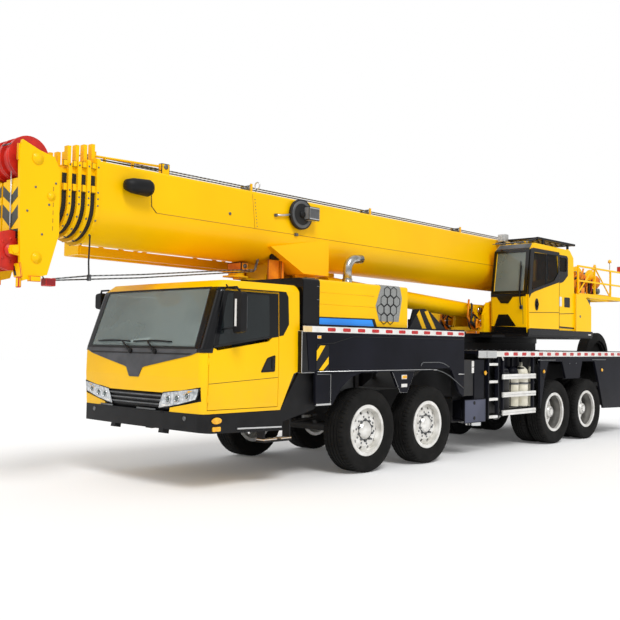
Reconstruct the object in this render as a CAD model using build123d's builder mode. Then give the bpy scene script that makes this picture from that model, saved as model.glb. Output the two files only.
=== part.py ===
"""Four-axle truck crane with a five-section telescopic boom, parked with the boom in its rest.

Millimetres. +X forward, +Y to the left, +Z up. The origin is on the ground, at the middle of the
overall length and width. The carrier, its cab, the outriggers, the turning superstructure and the
boom are separate pieces. What moves is seated on its axis: wheel hubs, steering knuckles, doors,
outrigger beams and jacks, the slewing ring, the boom foot, the luffing cylinder and the sections.
"""

import math
import os

from build123d import *

# ---- Driving dimensions -------------------------------------------------------------------------
overall_length = 15050
half_length = overall_length / 2
carrier_half_width = 1380
seat_gap = 0.3  # between curved or sliding faces that bear on each other
pin_gap = 0.05  # round a pin or rod in its bore
running_gap = 0.4  # round a wheel spindle
pad_gap = 2  # between the parked boom and its rest
panel_gap = 8  # round a door

# Axles, counted from the front
axle_x = (2325, 855, -3250, -4600)
tyre_radius = 600
tyre_width = 310
front_tyre_width = 370
bead_half_width = 115
front_bead_half_width = 140
rim_seat_radius = 330
rim_flange_radius = 366
rim_flange_width = 12
rim_wall = 12
wheel_outer_y = 1370
twin_spacing = 350
steered_y = wheel_outer_y - front_tyre_width / 2  # middle plane of a steered wheel
twin_outer_y = wheel_outer_y - tyre_width / 2
twin_middle_y = twin_outer_y - twin_spacing / 2
hub_radius = 135
hub_back_y = 1085  # inner end of a steered wheel's hub
drive_back_y = 690  # inner end of a driven wheel's hub
spindle_radius = 55
spindle_length = 120
knuckle_gap = 5
drive_flange_radius = 150
kingpin_y = 960
kingpin_radius = 62
kingpin_boss_height = 150
knuckle_arm = 40
axle_tube_radius = 70
drive_tube_radius = 105

# Chassis
frame_half_width = 430
frame_bottom = 780
frame_rear_top = 1480
frame_mid_top = 1100
frame_front_bottom = 800
frame_rear_end = 95 - half_length
frame_front_x = 5100
frame_wall = 16
slew_x = -3300
ring_radius = 800
ring_wall = 60
ring_top = 1900
table_base_bottom = 2000
table_base_top = 2050

# Decks
rear_deck_top = 1750
front_deck_top = 2090
deck_plate = 50
deck_edge_height = 90
skirt_thickness = 40
rear_deck_front_x = -505
front_deck_rear_x = -85
front_deck_front_x = 3665
skirt_bottom_z = 1470

# Ladder, side guard and gas bottles below the rear deck
ladder_rail_x = (-868, -1182)
ladder_bottom = 590
rung_z = (620, 920, 1220, 1520)
guard_x = (-1353, -2485)
guard_z = (1300, 985, 670)
bottle_x = (-1600, -1920, -2240)
bottle_y = 1190
bottle_z = (740, 1360)
bottle_radius = 118

# Outriggers: the left and right beam of a pair lie side by side
outrigger_rear_x = (-765, 335 - half_length)
outrigger_length = 640
box_bottom = 555
box_top = 945
box_wall = 14
box_half_width = 1120
beam_clearance = 6
beam_wall = 14
beam_inner_y = 1100
end_plate_y = 1368
end_plate_thickness = 14
jack_y = 1235
jack_tube_radius = 96
jack_rod_radius = 70
jack_tube_top = 1360
housing_top = {"front": 1600, "rear": 1375}
housing_inner_y = 1130
housing_outer_y = 1345
tower_clearance = 8
jack_tube_bottom = 560
jack_foot_radius = 128
jack_foot_bottom = 498

# Carrier cab
cab_half_width = 1300
cab_floor_z = 970
cab_roof_z = 2600
cab_rear_x = 3705
cab_wall = 45
lamp_recess = ((765, 1215), (1245, 1290), (1250, 1120), (960, 1065), (650, 1010))
lamp_glass = ((768, 1212), (1240, 1286), (1245, 1123), (962, 1068), (654, 1013))
belt_bottom_z = 690
belt_rear_x = 3990
door_front_x = 5262
door_rear_x = 4088
door_hinge_x = door_front_x - panel_gap / 2
door_hinge_z = (1110, 1560)
door_hinge_radius = 12

# Boom
boom_half_width = 450
boom_top_z = 3895
boom_fold_z = 3372
boom_bottom_z = 2930
boom_top_corner = 40
boom_rise = 0.344  # degrees that the parked boom leans up towards its head
boom_pivot = (-4825, 3200)
boom_rear_x = -5150
boom_front_x = 6325
section_step = 34
section_wall = 14
section_rear_x = -4560
collar_pitch = 105
collar_thickness = 45
collar_height = 46
luff_foot = (-2355, 2510)
luff_eye = (2425, 2755)
luff_barrel_radius = 150
luff_rod_radius = 92
luff_eye_radius = 105
luff_pin_radius = 55
luff_barrel_length = 4230
luff_stroke_reserve = 4450
pivot_pin_radius = 70
head_rear_x = 6780
upper_sheave = (7114, boom_top_z - 99)
upper_sheave_radius = 245
lower_sheave_z = boom_bottom_z - 195
lower_sheave_radius = 222
sheave_pin_radius = 40
winch_z = 3330
channel_half_width = 190
channel_floor = 2510
hook_x = 3640
spare_centre = (-6110, 760, 1620)
tail_end_x = 45 - half_length
tail_rail_y = 930

# Crane cab
crane_cab_inner_y = 575
crane_cab_outer_y = 1350
crane_cab_wall = 40
cheek_inner_y = 470
cheek_outer_y = 520

os.makedirs("parts", exist_ok=True)
written = []


# ---- Helpers ------------------------------------------------------------------------------------
def side_plate(points, y0, y1, mode=Mode.ADD):
    """A plate with an outline of (x, z) points, between two values of y."""
    with BuildSketch(Plane(origin=(0, y0, 0), x_dir=(1, 0, 0), z_dir=(0, -1, 0))) as outline:
        with BuildLine():
            Polyline(*points, close=True)
        make_face()
    extrude(outline.sketch, amount=y0 - y1, mode=mode)


def cross_plate(points, x0, x1, mode=Mode.ADD):
    """A plate with an outline of (y, z) points, between two values of x."""
    with BuildSketch(Plane(origin=(x0, 0, 0), x_dir=(0, 1, 0), z_dir=(1, 0, 0))) as outline:
        with BuildLine():
            Polyline(*points, close=True)
        make_face()
    extrude(outline.sketch, amount=x1 - x0, mode=mode)


def flat_plate(points, z0, z1, mode=Mode.ADD):
    """A plate with an outline of (x, y) points, between two values of z."""
    with BuildSketch(Plane.XY.offset(z0)) as outline:
        with BuildLine():
            Polyline(*points, close=True)
        make_face()
    extrude(outline.sketch, amount=z1 - z0, mode=mode)


def block(x0, x1, y0, y1, z0, z1, mode=Mode.ADD):
    """A box between two corners, given in any order."""
    with Locations(((x0 + x1) / 2, (y0 + y1) / 2, (z0 + z1) / 2)):
        Box(abs(x1 - x0), abs(y1 - y0), abs(z1 - z0), mode=mode)


def round_bar(start, end, radius, mode=Mode.ADD):
    """A round bar from one point to another."""
    along = Vector(*end) - Vector(*start)
    with BuildSketch(Plane(origin=start, z_dir=tuple(along))) as disc:
        Circle(radius)
    extrude(disc.sketch, amount=along.length, mode=mode)


def turned(x, z, points, mode=Mode.ADD):
    """A body turned about the line along Y through (x, z), from (y, radius) points."""
    with BuildSketch(Plane(origin=(x, 0, z), x_dir=(0, 1, 0), z_dir=(-1, 0, 0))) as outline:
        with BuildLine():
            Polyline(*points, close=True)
        make_face()
    revolve(outline.sketch, axis=Axis((x, 0, z), (0, 1, 0)), mode=mode)


def upright(x, y, z0, z1, radius, mode=Mode.ADD):
    """A vertical cylinder between two heights."""
    with Locations((x, y, (z0 + z1) / 2)):
        Cylinder(radius, z1 - z0, mode=mode)


def crosswise(x, z, y0, y1, radius, mode=Mode.ADD):
    """A cylinder along Y between two values of y."""
    with Locations(Location((x, (y0 + y1) / 2, z), (90, 0, 0))):
        Cylinder(radius, abs(y1 - y0), mode=mode)


def raised(x, z):
    """Where a point (x, z) of the level boom comes when the boom leans up to its parked rise."""
    turn = math.radians(boom_rise)
    dx = x - boom_pivot[0]
    dz = z - boom_pivot[1]
    back = dx * math.cos(turn) - dz * math.sin(turn)
    up = dx * math.sin(turn) + dz * math.cos(turn)
    return (boom_pivot[0] + back, boom_pivot[1] + up)


def write_raised(part, label):
    """Leans a piece of the level boom up to its parked rise, and writes it."""
    axis = Axis((boom_pivot[0], 0, boom_pivot[1]), (0, -1, 0))
    write(part.rotate(axis, boom_rise), label)


def write(part, label):
    """Labels a finished piece and writes its STEP."""
    part.label = label
    export_step(part, f"parts/{label}.step")


# ---- Wheels -------------------------------------------------------------------------------------
def tyre_solid(x, y_middle, width, bead):
    """One tyre: beads beside the rim flanges, bulged walls, rounded shoulders and a flat tread."""
    wall_y = width / 2
    shoulder_y = wall_y - 9
    tread_y = wall_y - 43
    shoulder_radius = tyre_radius - 26
    bead_top = rim_flange_radius + 3
    plane = Plane(origin=(x, y_middle, tyre_radius), x_dir=(0, 1, 0), z_dir=(-1, 0, 0))
    with BuildSketch(plane) as outline:
        with BuildLine():
            Line((-bead, rim_seat_radius), (bead, rim_seat_radius))
            Line((bead, rim_seat_radius), (bead, bead_top))
            ThreePointArc((bead, bead_top), (wall_y, 480), (shoulder_y, shoulder_radius))
            Line((shoulder_y, shoulder_radius), (tread_y, tyre_radius))
            Line((tread_y, tyre_radius), (-tread_y, tyre_radius))
            Line((-tread_y, tyre_radius), (-shoulder_y, shoulder_radius))
            ThreePointArc(
                (-shoulder_y, shoulder_radius), (-wall_y, 480), (-bead, bead_top)
            )
            Line((-bead, bead_top), (-bead, rim_seat_radius))
        make_face()
    revolve(outline.sketch, axis=Axis((x, 0, tyre_radius), (0, 1, 0)))


def rim_barrel(x, y_middle, bead_half):
    """The barrel of one rim, with a flange outside each bead."""
    seat = rim_seat_radius - seat_gap
    bead = bead_half + seat_gap
    edge = bead + rim_flange_width
    points = [
        (y_middle - edge, barrel_inner_radius),
        (y_middle + edge, barrel_inner_radius),
        (y_middle + edge, rim_flange_radius),
        (y_middle + bead, rim_flange_radius),
        (y_middle + bead, seat),
        (y_middle - bead, seat),
        (y_middle - bead, rim_flange_radius),
        (y_middle - edge, rim_flange_radius),
    ]
    turned(x, tyre_radius, points)


def hand_holes(x, y0, y1):
    """Ten round holes through a wheel disc."""
    plane = Plane(origin=(x, min(y0, y1), tyre_radius), x_dir=(1, 0, 0), z_dir=(0, 1, 0))
    with BuildSketch(plane) as holes:
        with PolarLocations(258, 10):
            Circle(24)
    extrude(holes.sketch, amount=abs(y1 - y0), mode=Mode.SUBTRACT)


def steered_rim(x, side):
    """A steered wheel's rim: its disc bulges outwards and the hub turns on the spindle."""
    y = side * steered_y
    rim_barrel(x, y, front_bead_half_width)
    weld = barrel_inner_radius + 4
    points = [
        (side * hub_back_y, 0),
        (y + side * 150, 0),
        (y + side * 150, 70),
        (y + side * 138, hub_radius - 30),
        (y + side * 105, hub_radius),
        (y + side * 105, 225),
        (y + side * 62, weld),
        (y + side * 44, weld),
        (y + side * 89, 215),
        (y + side * 89, hub_radius),
        (side * hub_back_y, hub_radius),
    ]
    turned(x, tyre_radius, points)
    hand_holes(x, y + side * 40, y + side * 115)
    bore_end = side * (hub_back_y + spindle_length + 5)
    crosswise(x, tyre_radius, side * hub_back_y, bore_end, spindle_radius + running_gap, Mode.SUBTRACT)


def twin_rims(x, side):
    """The two rims of a twin wheel, welded to one disc between them, with a long hub."""
    middle = side * twin_middle_y
    rim_barrel(x, side * twin_outer_y, bead_half_width)
    rim_barrel(x, side * (twin_outer_y - twin_spacing), bead_half_width)
    reach = side * (twin_spacing / 2 - bead_half_width)
    weld = barrel_inner_radius + 4
    disc = side * 14
    points = [
        (middle - reach - side * 10, weld),
        (middle - disc, 240),
        (middle - disc, hub_radius),
        (side * drive_back_y, hub_radius),
        (side * drive_back_y, 0),
        (middle + side * 165, 0),
        (middle + side * 165, 95),
        (middle + side * 140, 120),
        (middle + side * 40, hub_radius),
        (middle + disc, hub_radius),
        (middle + disc, 240),
        (middle + reach + side * 10, weld),
        (middle + reach - side * 8, weld),
        (middle, 262),
        (middle - reach + side * 8, weld),
    ]
    turned(x, tyre_radius, points)
    hand_holes(x, middle - side * 60, middle + side * 60)
    bore_end = side * (drive_back_y + spindle_length + 5)
    crosswise(x, tyre_radius, side * drive_back_y, bore_end, spindle_radius + running_gap, Mode.SUBTRACT)


barrel_inner_radius = rim_seat_radius - seat_gap - rim_wall
SIDES = (("left", 1), ("right", -1))

for number, x in enumerate(axle_x, start=1):
    for side_name, side in SIDES:
        with BuildPart() as tyre:
            if number > 2:
                tyre_solid(x, side * twin_outer_y, tyre_width, bead_half_width)
                tyre_solid(x, side * (twin_outer_y - twin_spacing), tyre_width, bead_half_width)
            else:
                tyre_solid(x, side * steered_y, front_tyre_width, front_bead_half_width)
        write(tyre.part, f"tyre_{number}_{side_name}")
        with BuildPart() as rim:
            if number > 2:
                twin_rims(x, side)
            else:
                steered_rim(x, side)
        write(rim.part, f"rim_{number}_{side_name}")

# ---- Axles, knuckles and springs ----------------------------------------------------------------
for number, x in enumerate(axle_x[:2], start=1):
    for side_name, side in SIDES:
        with BuildPart() as knuckle:
            arm_top = tyre_radius + kingpin_boss_height / 2 + knuckle_gap
            arm_bottom = tyre_radius - kingpin_boss_height / 2 - knuckle_gap
            plate_in = side * (kingpin_y + 98)
            plate_out = side * (hub_back_y - 1)
            upright(x, side * kingpin_y, arm_bottom - knuckle_arm, arm_top + knuckle_arm, kingpin_radius)
            for z0, z1 in ((arm_top, arm_top + knuckle_arm), (arm_bottom - knuckle_arm, arm_bottom)):
                upright(x, side * kingpin_y, z0, z1, 80)
                block(x - 80, x + 80, side * kingpin_y, plate_out, z0, z1)
            block(x - 80, x + 80, plate_in, plate_out, arm_bottom - 30, arm_top + 30)
            spindle_end = side * (hub_back_y + spindle_length)
            crosswise(x, tyre_radius, plate_in, spindle_end, spindle_radius)
            block(x - 260, x - 60, side * (kingpin_y - 30), side * (kingpin_y + 50), 480, 510)
        write(knuckle.part, f"knuckle_{number}_{side_name}")

with BuildPart() as front_axles:
    for x in axle_x[:2]:
        crosswise(x, tyre_radius, -(kingpin_y - 50), kingpin_y - 50, axle_tube_radius)
        for side in (1, -1):
            z0 = tyre_radius - kingpin_boss_height / 2
            z1 = tyre_radius + kingpin_boss_height / 2
            upright(x, side * kingpin_y, z0, z1, kingpin_radius + 28)
            upright(x, side * kingpin_y, z0 - 5, z1 + 5, kingpin_radius + pin_gap, Mode.SUBTRACT)
    spring_middle = (axle_x[0] + axle_x[1]) / 2
    for side in (1, -1):
        for x in axle_x[:2]:
            block(x - 90, x + 90, side * 345, side * 425, tyre_radius + 40, frame_bottom)
            for rise, reach in ((0, 690), (14, 560), (28, 420)):
                block(x - reach, x + reach, side * 350, side * 420, 690 + rise, 702 + rise)
            block(x - 120, x + 120, side * 340, side * 430, 676, 690)
        block(spring_middle - 70, spring_middle + 70, side * 350, side * 420, 660, frame_bottom)
    block(spring_middle - 40, spring_middle + 40, -350, 350, 700, 760)
write(front_axles.part, "front_axles")

with BuildPart() as rear_axles:
    for x in axle_x[2:]:
        crosswise(x, tyre_radius, -drive_back_y + 1, drive_back_y - 1, drive_tube_radius)
        for side in (1, -1):
            inner = side * (drive_back_y - 60)
            crosswise(x, tyre_radius, inner, side * (drive_back_y - 1), drive_flange_radius)
            end = side * (drive_back_y + spindle_length)
            crosswise(x, tyre_radius, inner, end, spindle_radius)
        with Locations((x, 0, tyre_radius)):
            Sphere(drive_tube_radius + 65)
    beam_middle = (axle_x[2] + axle_x[3]) / 2
    for side in (1, -1):
        block(axle_x[3] - 90, axle_x[2] + 90, side * 345, side * 425, 640, 720)
        block(beam_middle - 110, beam_middle + 110, side * 345, side * 425, 640, frame_bottom)
    round_bar((beam_middle, -345, 700), (beam_middle, 345, 700), 45)
    round_bar((axle_x[3], 0, tyre_radius + 40), (axle_x[2], 0, tyre_radius + 40), 55)
write(rear_axles.part, "rear_axles")

# ---- Chassis ------------------------------------------------------------------------------------
frame_profile = [
    (frame_rear_end, 940),
    (outrigger_rear_x[1], frame_bottom),
    (4200, frame_bottom),
    (4600, frame_front_bottom),
    (frame_front_x, frame_front_bottom),
    (frame_front_x, cab_floor_z),
    (3640, cab_floor_z),
    (3560, frame_mid_top),
    (350, frame_mid_top),
    (-350, frame_rear_top),
    (frame_rear_end, frame_rear_top),
]
with BuildPart() as chassis_frame:
    side_plate(frame_profile, -frame_half_width, frame_half_width)
    hollow_x0 = frame_rear_end + frame_wall
    hollow_x1 = frame_front_x - frame_wall
    inner = frame_half_width - frame_wall
    w = frame_wall
    hollow = [
        (hollow_x0, 940 + 2 * w),
        (outrigger_rear_x[1], frame_bottom + w),
        (4200, frame_bottom + w),
        (4600, frame_front_bottom + w),
        (hollow_x1, frame_front_bottom + w),
        (hollow_x1, cab_floor_z - w),
        (3630, cab_floor_z - w),
        (3550, frame_mid_top - w),
        (345, frame_mid_top - w),
        (-355, frame_rear_top - w),
        (hollow_x0, frame_rear_top - w),
    ]
    side_plate(hollow, -inner, inner, Mode.SUBTRACT)
    upright(slew_x, 0, frame_rear_top - 60, ring_top, ring_radius)
    upright(slew_x, 0, frame_rear_top, ring_top + 5, ring_radius - ring_wall, Mode.SUBTRACT)
    for rear_x in outrigger_rear_x:
        front_x = rear_x + outrigger_length
        block(rear_x, front_x, -box_half_width, box_half_width, box_bottom, box_top)
        y0 = -box_half_width - 5
        y1 = box_half_width + 5
        z0 = box_bottom + box_wall
        block(rear_x + box_wall, front_x - box_wall, y0, y1, z0, box_top - box_wall, Mode.SUBTRACT)
        pad_top = box_bottom + box_wall + beam_clearance - running_gap
        for beam_x in (rear_x + outrigger_length * 0.25 + 2, rear_x + outrigger_length * 0.75 - 2):
            for y in (-box_half_width + 60, box_half_width - 60):
                block(beam_x - 110, beam_x + 110, y - 50, y + 50, box_bottom + box_wall, pad_top)
    tower_x0 = outrigger_rear_x[0] + outrigger_length / 2 + tower_clearance
    tower_x1 = outrigger_rear_x[0] + outrigger_length - box_wall
    block(tower_x0, tower_x1, 1090, 1330, box_top + 60, 1600)
    block(tower_x0, tower_x1, 1090, box_half_width, box_top - 5, box_top + 65)
    mirrored_x0 = outrigger_rear_x[0] + box_wall
    mirrored_x1 = outrigger_rear_x[0] + outrigger_length / 2 - tower_clearance
    block(mirrored_x0, mirrored_x1, -1090, -1330, box_top + 60, 1600)
    block(mirrored_x0, mirrored_x1, -1090, -box_half_width, box_top - 5, box_top + 65)
    for x, z0 in ((slew_x + 640, frame_rear_top), (slew_x - 640, frame_rear_top)):
        block(x - 20, x + 20, -frame_half_width, frame_half_width, z0 - 5, rear_deck_top - deck_plate)
    for x in (-1100, -5440, -7100):
        block(x - 40, x + 40, -1330, 1330, rear_deck_top - deck_plate - 90, rear_deck_top - deck_plate)
        block(x - 40, x + 40, -300, 300, frame_rear_top - 5, rear_deck_top - deck_plate)
    for x in (60, 1500, 3300):
        block(x - 40, x + 40, -1330, 1330, front_deck_top - deck_plate - 70, front_deck_top - deck_plate)
        for side in (1, -1):
            block(x - 40, x + 40, side * 390, side * 430, frame_mid_top - 60, front_deck_top - deck_plate)
write(chassis_frame.part, "chassis_frame")

# ---- Decks and skirts ---------------------------------------------------------------------------
rear_skirt = [
    (rear_deck_front_x, rear_deck_top - 10),
    (rear_deck_front_x, rear_deck_top - deck_edge_height),
    (-2625, rear_deck_top - deck_edge_height),
    (-2625, 700),
    (-2650, 700),
    (-2790, 1225),
    (-2940, 1560),
    (-3480, 1560),
    (-3640, 1225),
    (-4210, 1225),
    (-4330, 1560),
    (-4880, 1560),
    (-5040, 1225),
    (-5290, 585),
    (-6480, 555),
    (-6480, 1400),
    (-7260, 1400),
    (-7260, 900),
    (-half_length, 1000),
    (-half_length, rear_deck_top - 10),
]
with BuildPart() as rear_deck:
    half = carrier_half_width
    z0 = rear_deck_top - deck_plate
    block(-half_length, rear_deck_front_x, -half, half, z0, rear_deck_top)
    for side in (1, -1):
        side_plate(rear_skirt, side * (half - skirt_thickness), side * half)
        y0 = side * (half - 14)
        block(-half_length, rear_deck_front_x, y0, side * half, rear_deck_top - 5, rear_deck_top + 12)
    block(-half_length, -half_length + 30, -half, half, 1000, z0 + 5)
    for side in (1, -1):
        for x in ladder_rail_x:
            block(x - 16, x + 16, side * 1300, side * 1365, ladder_bottom, z0 + 5)
        for z in rung_z:
            block(ladder_rail_x[1], ladder_rail_x[0], side * 1290, side * 1360, z - 16, z + 16)
        for z in guard_z:
            block(guard_x[1], guard_x[0], side * 1335, side * 1360, z - 38, z + 38)
        for x in (guard_x[0] - 40, guard_x[1] + 40):
            block(x - 25, x + 25, side * 1290, side * 1340, guard_z[-1] - 60, z0 + 5)
        for x in bottle_x:
            upright(x, side * bottle_y, bottle_z[0], bottle_z[1], bottle_radius)
            with Locations((x, side * bottle_y, bottle_z[1])):
                Sphere(bottle_radius)
            block(x - 20, x + 20, side * (bottle_y - 20), side * (bottle_y + 20), bottle_z[1], z0 + 5)
        block(bottle_x[-1], bottle_x[0], side * 960, side * (bottle_y - 60), bottle_z[0] + 40, z0 + 5)
    upright(slew_x, 0, z0 - 5, rear_deck_top + 5, ring_radius + 8, Mode.SUBTRACT)
    x, y, z = spare_centre
    reach = tyre_radius + 10
    block(x - reach, x + reach, y - 175, y + 175, z0 - 5, rear_deck_top + 5, Mode.SUBTRACT)
write(rear_deck.part, "rear_deck")

front_skirt = [
    (front_deck_rear_x, front_deck_top - 10),
    (front_deck_rear_x, 1035),
    (-70, 1000),
    (60, 1090),
    (270, skirt_bottom_z - 40),
    (330, skirt_bottom_z),
    (1350, skirt_bottom_z),
    (1500, 1210),
    (1690, 1210),
    (1830, skirt_bottom_z - 30),
    (2530, skirt_bottom_z - 45),
    (2747, 1370),
    (2960, 1225),
    (3091, 1060),
    (3137, 1000),
    (3470, 1010),
    (3480, skirt_bottom_z - 5),
    (front_deck_front_x - 60, skirt_bottom_z),
    (front_deck_front_x, front_deck_top - 10),
]
with BuildPart() as front_deck:
    half = carrier_half_width
    z0 = front_deck_top - deck_plate
    block(front_deck_rear_x, front_deck_front_x, -half, half, z0, front_deck_top)
    for side in (1, -1):
        side_plate(front_skirt, side * (half - skirt_thickness), side * half)
    block(1490, 3240, -400, 400, z0 - 5, front_deck_top + 5, Mode.SUBTRACT)
    wedge_plate = [
        (940, front_deck_top - 5),
        (815, 2400),
        (518, 2422),
        (-60, front_deck_top + 15),
        (-60, front_deck_top - 5),
    ]
    for side in (1, -1):
        side_plate(wedge_plate, side * 985, side * 1015)
        for x in (700, 300):
            block(x - 12, x + 12, side * 820, side * 990, front_deck_top - 5, 2250)
write(front_deck.part, "front_deck")

# ---- Engine and its cover -----------------------------------------------------------------------
with BuildPart() as engine:
    block(1530, 3150, -380, 380, frame_mid_top + 0, 1900)
    block(1700, 2900, -300, 300, 1900, 2050)
    block(1560, 1700, -340, 340, 1250, 1980)
write(engine.part, "engine")

cover_rear_x = 1360
cover_front_x = 3665
cover_half_width = 1300
cover_top = 2710
cover_wall = 30
with BuildPart() as engine_cover:
    block(cover_rear_x, cover_front_x, -cover_half_width, cover_half_width, front_deck_top, cover_top)
    top_long = engine_cover.edges().filter_by(Axis.X).group_by(Axis.Z)[-1]
    fillet(top_long, 45)
    block(
        cover_rear_x + cover_wall,
        cover_front_x - cover_wall,
        -cover_half_width + cover_wall,
        cover_half_width - cover_wall,
        front_deck_top - 5,
        cover_top - cover_wall,
        Mode.SUBTRACT,
    )
    outer = channel_half_width + cover_wall
    inner = channel_half_width
    block(cover_rear_x, 3020, -outer, outer, channel_floor - cover_wall, cover_top)
    block(cover_rear_x - 5, 2990, -inner, inner, channel_floor, cover_top + 5, Mode.SUBTRACT)
    round_bar((2475, 620, cover_top - cover_wall), (2475, 620, 2830), 62)
    round_bar((2475, 620, 2800), (2440, 620, 3020), 62)
    round_bar((2440, 620, 3000), (2120, 620, 3130), 62)
    round_bar((2320, 620, 3050), (2115, 620, 3132), 54, Mode.SUBTRACT)
write(engine_cover.part, "engine_cover")

with BuildPart() as boom_rest:
    rest_x = cover_front_x - 430
    rise = raised(rest_x, boom_bottom_z)[1] - boom_bottom_z
    cradle = [(240, cover_top + 110), (200, cover_top), (-200, cover_top), (-240, cover_top + 110)]
    for step in range(-6, 7):
        y = step * 40
        drop = (boom_fold_z - boom_bottom_z) * math.sqrt(1 - (y / boom_half_width) ** 2)
        cradle.append((y, boom_fold_z - drop + rise - pad_gap))
    cross_plate(cradle, rest_x - 45, rest_x + 45)
    block(rest_x - 110, rest_x + 110, -270, 270, cover_top, cover_top + 24)
    for side in (1, -1):
        block(rest_x - 90, rest_x + 90, side * 200, side * 225, cover_top, cover_top + 110)
    block(rest_x, hook_x + 60, -70, 70, cover_top + 24, cover_top + 50)
write(boom_rest.part, "boom_rest")

with BuildPart() as hook_block:
    z0 = cover_top + 50
    block(hook_x - 60, hook_x + 210, -120, 120, z0, z0 + 24)
    upright(hook_x + 60, 0, z0 + 24, z0 + 72, 115)
    block(hook_x - 60, hook_x + 210, -120, 120, z0 + 72, z0 + 92)
write(hook_block.part, "hook_block")

with BuildPart() as spare_wheel:
    x, y, z = spare_centre
    turned(x, z, [(y - 150, 366), (y - 112, tyre_radius - 60), (y + 112, tyre_radius - 60), (y + 150, 366)])
    turned(x, z, [(y - 112, 0), (y - 112, 366), (y + 112, 366), (y + 112, 0)])
    turned(x, z, [(y + 40, 0), (y + 40, 320), (y + 160, 320), (y + 160, 0)], Mode.SUBTRACT)
    block(x - 60, x + 60, frame_half_width, y - 100, frame_rear_top - 160, frame_rear_top - 40)
    block(x - 60, x + 60, y - 160, y - 100, frame_rear_top - 160, z + 60)
write(spare_wheel.part, "spare_wheel")

# ---- Carrier cab --------------------------------------------------------------------------------
# height, middle of the front, front corner, end of the side, half width
cab_sections = (
    (cab_floor_z, 5390, 5335, 5235, 1290),
    (1400, 5410, 5350, 5250, cab_half_width),
    (1720, 5400, 5340, 5245, cab_half_width),
    (2510, 5110, 5065, 4985, 1275),
    (cab_roof_z, 4985, 4960, 4890, 1215),
)


def cab_outline(z, nose, corner, side_end, half, inset):
    """A level section of the cab: flat sides, rounded front corners and a slightly bowed front."""
    half = half - inset
    corner_y = half - 110
    with BuildSketch(Plane.XY.offset(z)) as outline:
        with BuildLine():
            Line((cab_rear_x + inset, half), (side_end, half))
            ThreePointArc(
                (side_end, half), (corner - inset - 28, half - 34), (corner - inset, corner_y)
            )
            ThreePointArc((corner - inset, corner_y), (nose - inset, 0), (corner - inset, -corner_y))
            ThreePointArc(
                (corner - inset, -corner_y), (corner - inset - 28, -half + 34), (side_end, -half)
            )
            Line((side_end, -half), (cab_rear_x + inset, -half))
            Line((cab_rear_x + inset, -half), (cab_rear_x + inset, half))
        make_face()
    return outline.sketch


cab_rear_cut = [
    (cab_rear_x - 60, 1475),
    (cab_rear_x, 1470),
    (3815, 1430),
    (4045, cab_floor_z),
    (4045, cab_floor_z - 60),
    (cab_rear_x - 60, cab_floor_z - 60),
]
with BuildPart() as cab_body:
    for lower, upper in zip(cab_sections, cab_sections[1:]):
        loft([cab_outline(*lower, 0), cab_outline(*upper, 0)], ruled=True)
    side_plate(cab_rear_cut, -1400, 1400, Mode.SUBTRACT)
    roof_edges = cab_body.edges().filter_by(Axis.Y).group_by(Axis.Z)[-1].sort_by(Axis.X)[:1]
    fillet(roof_edges, 60)

with BuildPart() as cab_void:
    inner_sections = [list(row) for row in cab_sections]
    inner_sections[0][0] += cab_wall
    inner_sections[-1][0] -= cab_wall
    for lower, upper in zip(inner_sections, inner_sections[1:]):
        loft([cab_outline(*lower, cab_wall), cab_outline(*upper, cab_wall)], ruled=True)
    rear_inner = [(x + cab_wall * 0.9, z + cab_wall * 0.7) for x, z in cab_rear_cut]
    side_plate(rear_inner, -1400, 1400, Mode.SUBTRACT)

door_opening = [
    (door_rear_x, 1010),
    (door_front_x, 1010),
    (door_front_x, 1735),
    (5010, 2480),
    (door_rear_x, 2480),
]
door_panel = [
    (door_rear_x + panel_gap, 1010 + panel_gap),
    (door_front_x - panel_gap, 1010 + panel_gap),
    (door_front_x - panel_gap, 1735),
    (5010 - panel_gap, 2480 - panel_gap),
    (door_rear_x + panel_gap, 2480 - panel_gap),
]
door_window = [
    (door_rear_x + 65, 1950),
    (4260, 1850),
    (5120, 1730),
    (5175, 1760),
    (4968, 2425),
    (door_rear_x + 65, 2430),
]
quarter_window = [(3905, 2100), (door_rear_x - 45, 1965), (door_rear_x - 45, 2430), (3935, 2430)]
windscreen = [(-1120, 1765), (1120, 1765), (1105, 2500), (-1105, 2500)]
rear_window = [(-700, 1900), (700, 1900), (700, 2400), (-700, 2400)]
grille_opening = [(-700, cab_floor_z - 5), (700, cab_floor_z - 5), (745, 1200), (-745, 1200)]
with BuildPart() as cab_shell:
    add(cab_body.part)
    add(cab_void.part, mode=Mode.SUBTRACT)
    for side in (1, -1):
        side_plate(door_opening, side * 1180, side * 1330, Mode.SUBTRACT)
        side_plate(quarter_window, side * 1180, side * 1330, Mode.SUBTRACT)
    cross_plate(windscreen, 4900, 5480, Mode.SUBTRACT)
    cross_plate(rear_window, cab_rear_x - 20, cab_rear_x + 100, Mode.SUBTRACT)
    cross_plate(grille_opening, 5200, 5480, Mode.SUBTRACT)
    for side in (1, -1):
        lamp = [(side * y, z) for y, z in lamp_recess]
        cross_plate(lamp, 5180, 5480, Mode.SUBTRACT)
    for side in (1, -1):
        for z0 in door_hinge_z:
            upright(door_hinge_x, side * cab_half_width, z0, z0 + 80, door_hinge_radius)
write(cab_shell.part, "cab_shell")

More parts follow.
